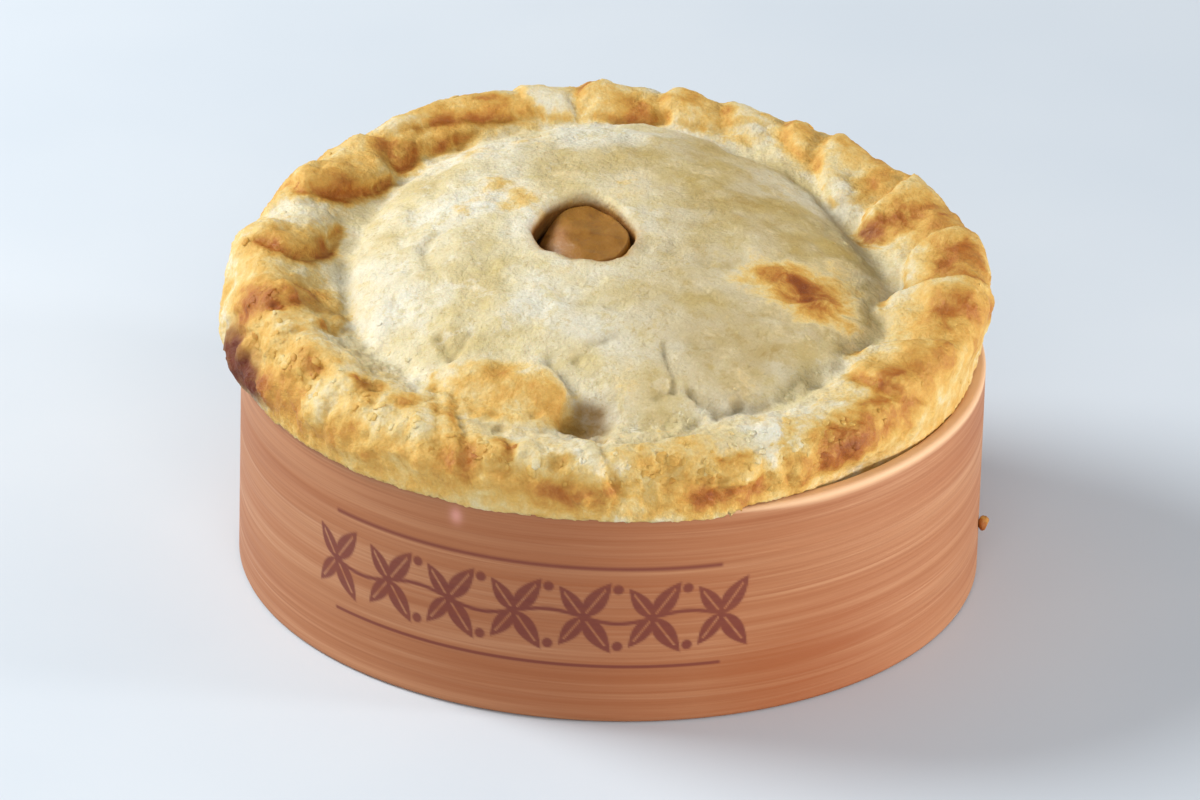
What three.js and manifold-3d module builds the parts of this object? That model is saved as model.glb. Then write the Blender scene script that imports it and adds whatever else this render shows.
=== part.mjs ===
// A small deep apple pie in the thin wooden case it was baked in.
// Millimetres, +Z up. The origin is the middle of the case's underside, and -Y is the front.
// Three pieces: the case (a bent wooden band with a plain floor), the pastry crust, which is one
// piece from its base up through the crimped rim and the domed lid, and the apple filling inside it.

import * as THREE from "three";
import { ParametricGeometry } from "three/addons/geometries/ParametricGeometry.js";
import { mergeVertices } from "three/addons/utils/BufferGeometryUtils.js";
import Module from "manifold-3d";

const wasm = await Module();
wasm.setup();

// ---------------------------------------------------------------- sizes
const CASE_RADIUS = 60.0; // outside of the band
const CASE_HEIGHT = 36.3;
const CASE_WALL = 2.4; // thickness of the band
const CASE_FLOOR = 2.4;
const CASE_EDGE = 0.7; // eased edges of the band
const CASE_SEGMENTS = 72;

const GAP = 0.3; // clearance between neighbouring pieces

const DOME_TOP = 56.5; // lid height above the middle of the case
const DOME_TILT = 0.1; // the lid rises towards the back
const DOME_SPREAD = 0.0011; // slow fall of the lid, per mm
const DOME_SHOULDER = 42.0; // radius where the lid turns down
const DOME_DROP = 5.2; // fall at the shoulder
const LID_THICKNESS = 5.6;

const VALLEY_RADIUS = 45.0; // between the lid and the crimps
const CRIMP_RISE = 2.8; // each crimp above its creases
const CRIMP_OUT = 1.5; // each crimp outside its creases
const CRIMP_SLANT = 0.6; // degrees of slant per mm outwards
// The creases between the finger-pressed crimps, in degrees round the rim from +X.
const CREASES = [0, 13, 29, 47, 56, 67, 81, 97, 111, 130, 144, 163, 180, 197, 211, 226, 242, 262, 279, 293, 309, 325, 343];

// The uneven rim, every 30 degrees from +X.
const RIM_VALLEY = [48.6, 49.6, 51.0, 52.0, 51.2, 49.8, 48.2, 46.6, 44.8, 44.0, 44.6, 46.8];
const RIM_CREST = [54.2, 54.0, 55.3, 57.4, 56.2, 54.2, 53.0, 51.0, 48.8, 48.0, 48.4, 50.8];
const RIM_CREST_RADIUS = [56.0, 56.0, 55.5, 55.0, 55.5, 56.0, 57.0, 55.5, 53.5, 53.0, 53.5, 55.0];
const RIM_OUTSIDE = [60.6, 61.0, 61.0, 61.0, 61.6, 62.3, 62.9, 62.2, 61.2, 60.7, 59.2, 59.4];
const RIM_LIP = [38.5, 37.5, 37.0, 36.9, 36.7, 35.6, 32.4, 35.4, 36.8, 36.9, 37.4, 38.2];
const RIM_LIP_RADIUS = [57.0, 57.4, 59.0, 60.4, 60.8, 61.4, 61.8, 61.3, 60.5, 60.0, 57.4, 56.8];
const RIM_BELLY = 0.36; // height of the widest place, from the lip to the crest

const FLAP_ANGLE = 250.0; // a fold of pastry pressed over the lid's edge
const FLAP_HALF_WIDTH = 11.5; // mm along the rim
const FLAP_RADIUS = 39.5;
const FLAP_HALF_LENGTH = 6.5;
const FLAP_RISE = 2.4;

const VENT_X = -5.0;
const VENT_Y = 3.0;
const VENT_HALF_WIDTH = 8.2; // across
const VENT_HALF_DEPTH = 9.0; // front to back
const VENT_TAPER = 0.9; // narrower at the foot

const FILLING_RADIUS = 53.2;
const FILLING_BOTTOM = 6.2;
const FILLING_FOOT_RADIUS = 50.5;

const CRUST_SECTORS = 96;
const DOME_ROWS = 11;
const CRIMP_ROWS = 9;
const FILLING_SECTORS = 48;
const FILLING_ROWS = 9;

const RAD = Math.PI / 180;

// ---------------------------------------------------------------- helpers
// A smooth closed curve through evenly spaced values, read at an angle in degrees.
function around(values, degrees) {
  const n = values.length;
  const t = (((degrees % 360) + 360) % 360) * (n / 360);
  const i = Math.floor(t) % n;
  const f = t - Math.floor(t);
  const [a, b, c, d] = [-1, 0, 1, 2].map((k) => values[(i + k + n) % n]);
  return b + 0.5 * f * (c - a + f * (2 * a - 5 * b + 4 * c - d + f * (3 * (b - c) + d - a)));
}

// 0 in a crease and 1 on the back of a crimp.
function crimp(degrees) {
  const t = ((degrees % 360) + 360) % 360;
  for (let i = 0; i < CREASES.length; i += 1) {
    const from = CREASES[i];
    const to = i + 1 < CREASES.length ? CREASES[i + 1] : CREASES[0] + 360;
    if (t >= from && t < to) {
      const s = (t - from) / (to - from);
      return Math.max(0, 4 * s * (1 - s)) ** 0.7;
    }
  }
  return 0;
}

function bump(distance) {
  return distance >= 1 ? 0 : (1 - distance * distance) ** 2;
}

function domeHeight(x, y) {
  const r = Math.hypot(x, y);
  return DOME_TOP - DOME_SPREAD * r * r - DOME_DROP * (r / DOME_SHOULDER) ** 4 + DOME_TILT * y;
}

// The lid itself, drawn up or down at its edge to meet the valley.
function lidHeight(r, degrees) {
  const a = degrees * RAD;
  const edge = domeHeight(VALLEY_RADIUS * Math.cos(a), VALLEY_RADIUS * Math.sin(a));
  const pull = (around(RIM_VALLEY, degrees) - edge) * (r / VALLEY_RADIUS) ** 3;
  return domeHeight(r * Math.cos(a), r * Math.sin(a)) + pull;
}

function flapHeight(x, y) {
  const a = FLAP_ANGLE * RAD;
  const along = x * Math.cos(a) + y * Math.sin(a) - FLAP_RADIUS;
  const across = -x * Math.sin(a) + y * Math.cos(a);
  return FLAP_RISE * Math.sqrt(bump(Math.hypot(along / FLAP_HALF_LENGTH, across / FLAP_HALF_WIDTH)));
}

// A closed three.js geometry as a solid for cutting.
function solidOf(geometry) {
  const bare = geometry.clone();
  for (const name of Object.keys(bare.attributes)) {
    if (name !== "position") bare.deleteAttribute(name);
  }
  const merged = mergeVertices(bare, 1e-4);
  const index = merged.index.array;
  const kept = [];
  for (let i = 0; i < index.length; i += 3) {
    const [a, b, c] = [index[i], index[i + 1], index[i + 2]];
    if (a !== b && b !== c && c !== a) kept.push(a, b, c);
  }
  return new wasm.Manifold(
    new wasm.Mesh({
      numProp: 3,
      vertProperties: new Float32Array(merged.attributes.position.array),
      triVerts: new Uint32Array(kept),
    }),
  );
}

function geometryOf(solid) {
  const mesh = solid.getMesh();
  const geometry = new THREE.BufferGeometry();
  geometry.setAttribute("position", new THREE.BufferAttribute(new Float32Array(mesh.vertProperties), 3));
  geometry.setIndex(new THREE.BufferAttribute(new Uint32Array(mesh.triVerts), 1));
  geometry.computeVertexNormals();
  return geometry;
}

// ---------------------------------------------------------------- case
// The band and its floor as one turned profile. grow moves every face outwards.
function caseGeometry(grow) {
  const out = CASE_RADIUS + grow;
  const inside = CASE_RADIUS - CASE_WALL - grow;
  const top = CASE_HEIGHT + grow;
  const floor = CASE_FLOOR + grow;
  const bottom = -grow;
  const e = CASE_EDGE;
  const profile = [
    [0, bottom],
    [out - e, bottom],
    [out, bottom + e],
    [out, top - e],
    [out - e, top],
    [inside + e, top],
    [inside, top - e],
    [inside, floor],
    [0, floor],
  ].map(([r, z]) => new THREE.Vector2(r, z));
  return new THREE.LatheGeometry(profile, CASE_SEGMENTS).rotateX(Math.PI / 2);
}

// ---------------------------------------------------------------- filling
// The apple filling: a flat-bottomed mass that follows the lid above it. grow moves its surface outwards.
function fillingGeometry(grow) {
  const topRows = FILLING_ROWS - 3;
  const point = (u, v, target) => {
    const a = u * 2 * Math.PI;
    const row = FILLING_ROWS - Math.round(v * FILLING_ROWS);
    let r;
    let z;
    if (row <= topRows) {
      r = (FILLING_RADIUS - 1.5 + grow) * Math.sin((row / topRows) * Math.PI * 0.5);
      z = domeHeight(r * Math.cos(a), r * Math.sin(a)) - LID_THICKNESS + grow;
    } else if (row === topRows + 1) {
      r = FILLING_RADIUS + grow;
      z = domeHeight(r * Math.cos(a), r * Math.sin(a)) - LID_THICKNESS - 2.5;
    } else if (row === topRows + 2) {
      r = FILLING_FOOT_RADIUS + grow;
      z = FILLING_BOTTOM - grow;
    } else {
      r = 0;
      z = FILLING_BOTTOM - grow;
    }
    target.set(r * Math.cos(a), r * Math.sin(a), z);
  };
  return new ParametricGeometry(point, FILLING_SECTORS, FILLING_ROWS);
}

// ---------------------------------------------------------------- crust
// The outside of the pastry, from the top of the lid over the crimps and down to the floor.
// It runs into the case's wall, and is then cut to it.
function crustSkin() {
  const rows = DOME_ROWS + CRIMP_ROWS * 2 + 3;
  const point = (u, v, target) => {
    const a = u * 2 * Math.PI;
    const degrees = u * 360;
    const row = rows - Math.round(v * rows);
    const cos = Math.cos(a);
    const sin = Math.sin(a);
    let r;
    let z;
    if (row <= DOME_ROWS) {
      r = VALLEY_RADIUS * (row / DOME_ROWS) ** 0.8;
      z = lidHeight(r, degrees) + flapHeight(r * cos, r * sin);
    } else if (row <= DOME_ROWS + CRIMP_ROWS * 2) {
      // phi runs from 180 degrees at the valley over 90 on the crest to -70 under the lip
      const s = (row - DOME_ROWS) / (CRIMP_ROWS * 2);
      const phi = (180 - 250 * s) * RAD;
      const valley = around(RIM_VALLEY, degrees);
      const slant = CRIMP_SLANT * 7 * Math.cos(phi);
      const back = crimp(degrees - slant) - 0.55;
      const crest = around(RIM_CREST, degrees) + CRIMP_RISE * back;
      const outside = around(RIM_OUTSIDE, degrees) + CRIMP_OUT * back;
      const lip = around(RIM_LIP, degrees);
      const lipRadius = around(RIM_LIP_RADIUS, degrees);
      const crestRadius = around(RIM_CREST_RADIUS, degrees);
      const middle = lip + RIM_BELLY * (crest - lip);
      if (phi >= Math.PI / 2) {
        r = crestRadius + (crestRadius - VALLEY_RADIUS) * Math.cos(phi);
        z = valley + (crest - valley) * Math.sin(phi);
      } else if (phi >= 0) {
        r = crestRadius + (outside - crestRadius) * Math.cos(phi);
        z = middle + (crest - middle) * Math.sin(phi);
      } else {
        const turn = -phi / (70 * RAD);
        r = outside + (lipRadius - outside) * turn * turn;
        z = middle + (lip - middle) * Math.sin((turn * Math.PI) / 2);
      }
    } else if (row === rows - 2) {
      r = CASE_RADIUS - CASE_WALL / 2;
      z = around(RIM_LIP, degrees) - 1.5;
    } else if (row === rows - 1) {
      r = CASE_RADIUS - CASE_WALL / 2;
      z = CASE_FLOOR / 2;
    } else {
      r = 0;
      z = CASE_FLOOR / 2;
    }
    target.set(r * cos, r * sin, z);
  };
  return new ParametricGeometry(point, CRUST_SECTORS, rows);
}

function ventTool() {
  const foot = domeHeight(VENT_X, VENT_Y) - LID_THICKNESS - 1;
  const height = 16;
  return new THREE.CylinderGeometry(1, VENT_TAPER, height, 28)
    .rotateX(Math.PI / 2)
    .scale(VENT_HALF_WIDTH, VENT_HALF_DEPTH, 1)
    .translate(VENT_X, VENT_Y, foot + height / 2);
}

function crustGeometry() {
  let crust = solidOf(crustSkin());
  crust = crust.subtract(solidOf(caseGeometry(GAP)));
  crust = crust.subtract(solidOf(fillingGeometry(GAP)));
  crust = crust.subtract(solidOf(ventTool()));
  return geometryOf(crust);
}

// ---------------------------------------------------------------- assembly
function piece(name, geometry, color, roughness) {
  const material = new THREE.MeshStandardMaterial({ color, roughness, metalness: 0 });
  const mesh = new THREE.Mesh(geometry, material);
  mesh.name = name;
  return mesh;
}

const pie = new THREE.Group();
pie.name = "apple_pie";
pie.add(piece("case", caseGeometry(0), 0xc98560, 0.6));
pie.add(piece("crust", crustGeometry(), 0xdcc48a, 0.85));
pie.add(piece("filling", geometryOf(solidOf(fillingGeometry(0))), 0x9c6a28, 0.35));

export default pie;
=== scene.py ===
"""Looks of a deep apple pie: domed pastry lid with a steam vent, crimped rim, apple filling, thin wooden case.

Shapes are worked out in millimetres and turned into metres when the meshes are made.
"""

import math

import bpy
import numpy as np
from mathutils import Matrix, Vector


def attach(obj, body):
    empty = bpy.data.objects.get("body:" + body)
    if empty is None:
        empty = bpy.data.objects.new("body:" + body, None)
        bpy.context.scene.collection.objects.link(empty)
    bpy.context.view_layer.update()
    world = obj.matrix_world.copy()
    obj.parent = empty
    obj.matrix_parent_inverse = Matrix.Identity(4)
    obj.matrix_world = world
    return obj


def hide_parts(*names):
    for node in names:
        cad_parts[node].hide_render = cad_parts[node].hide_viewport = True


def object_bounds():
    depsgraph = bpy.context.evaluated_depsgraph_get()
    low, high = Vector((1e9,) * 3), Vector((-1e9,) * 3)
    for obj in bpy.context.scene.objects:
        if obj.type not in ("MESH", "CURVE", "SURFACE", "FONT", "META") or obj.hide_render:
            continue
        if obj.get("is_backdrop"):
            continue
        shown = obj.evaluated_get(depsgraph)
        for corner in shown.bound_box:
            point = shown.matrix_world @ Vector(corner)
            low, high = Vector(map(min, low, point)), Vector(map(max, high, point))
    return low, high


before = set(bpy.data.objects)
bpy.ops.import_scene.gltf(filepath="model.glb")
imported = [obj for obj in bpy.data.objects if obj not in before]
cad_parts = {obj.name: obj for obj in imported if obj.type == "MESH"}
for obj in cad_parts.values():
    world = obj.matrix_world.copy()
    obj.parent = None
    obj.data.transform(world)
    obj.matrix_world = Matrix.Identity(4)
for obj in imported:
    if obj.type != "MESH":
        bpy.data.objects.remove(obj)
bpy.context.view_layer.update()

# ---------------------------------------------------------------- sizes, mm
CASE_RADIUS = 60.0
CASE_HEIGHT = 36.3
CASE_WALL = 2.4
CASE_FLOOR = 2.4
GAP = 0.3

DOME_TOP = 56.5
DOME_TILT = 0.1
DOME_SPREAD = 0.0011
DOME_SHOULDER = 42.0
DOME_DROP = 5.2
LID_THICKNESS = 5.6
# every 30 degrees from +X, towards +Y
RIM_VALLEY = [48.8, 50.0, 52.6, 54.4, 53.0, 50.6, 48.4, 46.6, 44.9, 44.6, 45.5, 47.3]
RIM_VALLEY_RADIUS = [43.5, 42.5, 45.0, 47.5, 46.5, 44.0, 43.0, 44.5, 45.5, 45.5, 45.5, 45.0]
RIM_CREST = [53.4, 53.2, 54.8, 57.2, 56.2, 54.4, 52.8, 50.0, 46.4, 45.0, 46.2, 49.2]
RIM_CREST_RADIUS = [55.5, 55.5, 55.5, 55.0, 55.5, 55.5, 56.0, 55.0, 53.5, 53.0, 53.0, 54.0]
RIM_OUTSIDE = [59.0, 60.4, 60.8, 60.8, 61.4, 62.7, 62.9, 62.1, 61.2, 60.9, 59.4, 58.8]
RIM_LIP = [38.5, 37.5, 37.0, 36.9, 36.7, 35.6, 32.4, 35.4, 36.8, 36.9, 37.4, 38.2]
RIM_LIP_RADIUS = [57.0, 57.4, 59.0, 60.4, 60.8, 61.4, 61.8, 61.3, 60.7, 60.3, 57.6, 57.0]
RIM_BELLY = 0.36

# folds of the rim: height of the step, width of the roll behind it, depth and width of the crease below it, side of the roll,
# how far the step lies from the line towards the roll, then the line from its inner end to its outer end
FOLDS = [
    (1.1, 7, 0.6, 1.0, 1, 0.0, [(35.2, 26.0, 50.6), (33.2, 30.8, 51.3), (32.6, 35.8, 52.2), (33.2, 40.3, 53.4), (34.9, 44.1, 54.1), (34.9, 49.0, 49.0), (32.5, 51.1, 42.0)]),
    (1.7, 8, 0.8, 1.0, 1, 0.0, [(39.7, 19.9, 50.1), (41.3, 23.6, 50.9), (43.8, 26.3, 52.0), (46.4, 28.8, 53.2), (47.9, 33.3, 52.2), (47.3, 36.7, 50.0), (45.3, 40.6, 43.0)]),
    (1.5, 7, 0.8, 1.0, 1, 0.0, [(46.2, -3.0, 49.1), (46.6, 3.3, 49.7), (47.9, 8.2, 50.7), (50.5, 10.5, 52.2), (53.7, 10.7, 53.5), (57.0, 13.2, 52.3), (57.5, 16.9, 50.0), (56.9, 21.1, 43.0)]),
    (1.5, 9, 0.9, 1.0, 1, 0.0, [(41.7, -10.2, 48.9), (44.0, -5.2, 48.6), (46.9, -3.9, 49.3), (50.0, -3.6, 50.9), (53.1, -5.2, 52.6), (56.3, -5.2, 52.6), (59.3, -3.1, 50.6), (60.2, -1.1, 46.0), (59.6, 2.0, 41.0)]),
    (1.2, 6, 0.6, 1.0, 1, 0.0, [(36.8, -24.6, 47.6), (40.4, -21.3, 47.5), (44.1, -20.6, 48.3), (48.1, -22.4, 49.8), (52.5, -21.7, 49.4)]),
    (0.9, 5, 0.8, 0.8, -1, 0.9, [(37.5, -29.9, 47.1), (39.8, -33.0, 47.9), (42.4, -35.0, 47.8), (44.6, -35.1, 46.8)]),
    (0.7, 5, 0.4, 0.8, 1, 0.0, [(39.2, -39.5, 46.7), (42.1, -37.4, 46.7), (45.3, -35.4, 46.0), (48.2, -33.0, 44.2)]),
    (0.8, 5, 0.4, 0.8, 1, 0.0, [(31.4, -48.9, 44.0), (33.6, -46.3, 44.9), (36.6, -44.1, 44.9), (39.6, -42.0, 44.7), (40.9, -41.9, 43.4)]),
    (0.9, 4, 0.5, 0.8, 1, 0.0, [(29.6, 39.7, 52.9), (28.3, 42.3, 53.4), (27.3, 45.3, 54.2), (28.0, 48.1, 54.8), (27.5, 53.4, 50.0), (24.8, 55.2, 42.0)]),
    (0.7, 5, 0.4, 0.8, 1, 0.0, [(18.1, 48.3, 54.5), (17.4, 50.4, 55.5), (17.7, 53.3, 55.7), (16.9, 57.6, 50.0), (14.0, 58.8, 42.0)]),
    (1.1, 6, 0.6, 0.9, 1, 0.0, [(8.5, 48.2, 54.4), (7.2, 50.3, 55.2), (7.1, 52.4, 56.5), (8.3, 55.2, 56.6), (6.8, 59.6, 50.0), (3.7, 60.2, 42.0)]),
    (0.6, 3, 0.6, 0.7, -1, 0.8, [(10.2, 47.8, 54.3), (13.2, 47.0, 54.1), (16.5, 46.5, 54.0), (19.4, 45.1, 53.7), (21.1, 43.8, 53.4)]),
    (0.8, 6, 0.4, 0.9, 1, 0.4, [(-6.3, 48.7, 54.6), (-7.2, 50.8, 56.0), (-6.9, 53.2, 57.1), (-5.7, 55.4, 57.1), (-8.2, 59.5, 50.0), (-11.4, 59.5, 42.0)]),
    (0.9, 4, 0.9, 0.8, -1, 0.0, [(-3.7, 48.9, 54.7), (-0.4, 48.2, 54.5), (2.6, 47.8, 54.4), (5.2, 48.3, 54.5), (6.9, 49.3, 54.8)]),
    (0.9, 5, 0.6, 0.9, 1, 0.0, [(-8.9, 48.1, 54.5), (-11.2, 48.1, 54.5), (-14.1, 48.9, 55.2), (-15.9, 50.2, 56.3), (-16.7, 53.3, 56.8), (-20.0, 56.8, 50.0), (-23.2, 56.3, 42.0)]),
    (1.2, 6, 0.6, 0.9, 1, 1.0, [(-16.5, 47.8, 54.8), (-20.6, 46.7, 54.8), (-24.7, 45.5, 55.0), (-28.3, 44.2, 55.3), (-32.0, 42.4, 55.4), (-35.4, 40.1, 55.3)]),
    (0.8, 4, 0.7, 0.8, 1, 0.0, [(-24.6, 42.1, 53.4), (-26.5, 40.9, 53.3), (-28.8, 38.9, 53.0), (-31.3, 37.4, 52.9)]),
    (1.0, 3, 0.9, 0.7, 1, 0.7, [(-33.6, 36.7, 53.2), (-34.0, 33.7, 52.3), (-35.4, 31.9, 52.1), (-37.1, 32.4, 52.6), (-37.8, 33.6, 53.2)]),
    (0.8, 5, 0.5, 0.8, -1, 0.0, [(-37.2, 32.9, 52.8), (-38.2, 35.0, 54.0), (-38.6, 36.8, 54.9), (-45.7, 39.3, 50.0)]),
    (1.9, 7, 0.9, 0.9, 1, 1.2, [(-36.9, 28.4, 51.5), (-39.1, 25.3, 51.2), (-41.6, 23.2, 51.3), (-44.3, 21.4, 51.7), (-48.3, 19.3, 52.9), (-51.6, 18.9, 53.9), (-53.3, 23.6, 53.0), (-57.0, 21.6, 47.0), (-59.7, 18.0, 41.0)]),
    (1.5, 7, 1.0, 0.9, 1, 1.3, [(-44.8, 13.3, 50.2), (-45.2, 9.8, 49.8), (-46.3, 5.6, 49.6), (-47.9, 2.6, 49.8), (-49.9, 0.2, 50.4), (-52.3, -1.2, 51.6), (-54.7, -0.9, 52.7), (-57.3, 1.5, 52.6), (-61.2, -2.0, 46.2), (-62.3, -6.7, 40.9)]),
    (1.5, 6, 0.8, 0.9, 1, 1.2, [(-50.7, -16.3, 50.9), (-53.2, -18.5, 51.0), (-55.7, -17.9, 49.9), (-58.0, -15.6, 47.9), (-60.5, -10.7, 44.6), (-59.9, -13.9, 44.2), (-59.9, -17.9, 39.5)]),
    (0.7, 4, 0.5, 0.7, -1, 0.6, [(-47.4, -11.0, 48.9), (-48.6, -9.4, 49.4), (-50.4, -9.2, 50.3), (-52.5, -10.8, 51.5)]),
    (0.7, 5, 0.7, 0.8, 1, 0.0, [(-55.5, -28.0, 41.1), (-55.3, -25.9, 44.1), (-55.9, -22.7, 46.0), (-57.2, -19.2, 46.5), (-59.7, -14.0, 44.6)]),
    (0.8, 4, 0.7, 0.8, 1, 0.0, [(-42.9, -14.8, 47.4), (-44.3, -20.9, 48.0), (-46.3, -21.2, 49.0)]),
    (0.5, 3, 1.4, 0.9, -1, 0.0, [(-40.7, -37.1, 48.3), (-39.0, -39.0, 47.9), (-36.7, -39.1, 47.9)]),
    (0.5, 3, 0.8, 0.8, -1, 0.0, [(-34.5, -43.1, 47.0), (-32.7, -44.0, 46.8), (-31.0, -42.5, 47.0)]),
    (0.5, 3, 0.6, 0.7, -1, 0.0, [(-41.8, -43.0, 44.3), (-40.7, -44.8, 43.6), (-39.2, -46.4, 43.0)]),
    (0.5, 3, 0.5, 0.7, 1, 0.0, [(-49.4, -30.5, 48.3), (-47.4, -33.7, 47.6), (-45.7, -35.9, 47.1)]),
    (0.7, 5, 1.0, 0.8, 1, 0.0, [(-25.5, -39.9, 45.3), (-24.2, -48.2, 47.3), (-23.5, -51.0, 46.1), (-23.0, -54.8, 44.6), (-23.2, -56.3, 41.6)]),
    (0.5, 5, 0.5, 0.8, 1, 0.0, [(-28.2, -33.0, 46.6), (-28.4, -37.5, 45.4), (-27.6, -47.6, 46.0), (-27.3, -52.3, 45.0)]),
    (0.6, 3, 0.8, 0.6, 1, 0.0, [(-17.9, -54.0, 46.0), (-16.8, -53.6, 46.1), (-15.9, -55.6, 45.7), (-16.1, -57.1, 44.7), (-17.3, -57.3, 44.1)]),
    (0.7, 4, 0.7, 0.7, 1, 0.0, [(-2.7, -53.6, 46.7), (-1.5, -57.5, 45.7), (-0.8, -59.5, 44.2), (0.4, -60.7, 41.3)]),
    (0.5, 3, 0.6, 0.6, 1, 0.0, [(17.4, -55.6, 44.0), (19.4, -54.9, 44.0), (21.4, -53.9, 44.2)]),
    (0.5, 4, 0.5, 0.7, -1, 0.0, [(-12.5, -59.1, 42.9), (-10.1, -59.7, 42.2), (-7.8, -60.0, 42.3), (-5.4, -60.0, 42.9)]),
    (0.5, 3, 0.6, 0.7, -1, 0.0, [(4.5, -56.5, 46.0), (5.8, -58.2, 44.9), (7.7, -58.6, 44.0), (9.6, -57.4, 44.8)]),
    (0.5, 4, 0.5, 0.7, -1, 0.0, [(12.4, -58.4, 42.6), (14.8, -58.2, 41.3), (17.4, -57.4, 41.2), (20.2, -56.2, 41.4)]),
    (0.6, 5, 0.5, 0.8, -1, 0.0, [(27.6, -48.0, 45.9), (26.7, -50.6, 44.8), (27.4, -52.2, 42.8), (28.4, -52.2, 40.0)]),
    (0.5, 4, 0.5, 0.8, 1, 0.0, [(7.6, -44.7, 44.9), (9.5, -50.6, 46.7), (12.3, -51.0, 46.8), (14.6, -49.3, 46.7)]),
    (0.5, 4, 0.5, 0.7, -1, 0.0, [(-36.1, -48.8, 42.9), (-35.1, -50.1, 41.5), (-33.2, -51.5, 40.8)]),
    (0.5, 4, 0.5, 0.7, -1, 0.0, [(-30.3, -46.9, 46.0), (-31.4, -49.9, 45.0), (-31.0, -51.6, 43.4)]),
]

# dents: x, y, z, size, depth
PITS = [
    (-56.8, 12.5, 52.8, 3.5, 1.2), (-55.9, 14.7, 53.0, 3.0, 0.8),
    (-50.2, -24.7, 50.3, 1.3, 1.1), (-44.9, -20.4, 48.3, 1.5, 0.9), (-43.3, -13.0, 47.6, 1.3, 0.8), (-42.1, -25.0, 47.6, 1.1, 0.8),
    (-46.5, -4.8, 48.7, 1.1, 0.6), (-43.6, -1.8, 48.3, 1.0, 0.6), (-48.2, -35.8, 44.8, 1.0, 0.8), (-35.2, 36.1, 53.4, 1.1, 1.0),
    (-8.3, -58.7, 44.7, 1.4, 1.1), (-13.9, -58.6, 43.3, 1.3, 0.7), (4.0, -51.3, 46.7, 1.7, 1.1), (8.0, -57.8, 44.8, 1.4, 0.8),
    (24.2, -54.5, 40.9, 1.4, 0.9), (44.1, -39.0, 42.3, 1.3, 0.8), (46.5, -35.7, 43.3, 1.5, 0.7), (21.6, -55.5, 38.7, 1.3, 0.6),
    (-4.8, 55.4, 57.1, 1.1, 0.7), (-38.6, -38.8, 48.0, 1.6, 1.0), (-19.9, -50.6, 47.0, 1.3, 0.6), (-5.7, -33.8, 50.4, 1.0, 0.8),
    (-1.3, -29.6, 51.9, 1.0, 0.5), (23.6, -38.4, 45.9, 1.0, 0.8), (20.1, -39.4, 46.2, 1.2, 0.8), (24.1, -33.6, 48.2, 1.2, 0.5),
    (9.3, -39.0, 48.1, 1.1, 0.8), (-4.6, -43.7, 45.6, 2.6, 2.4), (-3.2, -44.8, 45.0, 2.2, 2.2), (-6.6, -44.7, 44.8, 1.8, 1.6),
    (-4.0, -49.1, 44.9, 3.6, 0.6), (-7.4, -42.3, 46.2, 1.6, 1.0), (-30.6, -0.3, 53.9, 1.3, 0.8), (-30.2, 27.2, 53.7, 1.0, 0.6),
    (-43.3, 16.4, 50.4, 0.9, 0.4), (32.7, -31.2, 46.5, 1.3, 0.6), (30.3, -26.5, 49.4, 2.2, 0.5), (40.4, -18.3, 47.9, 2.0, 0.5),
]

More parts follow.
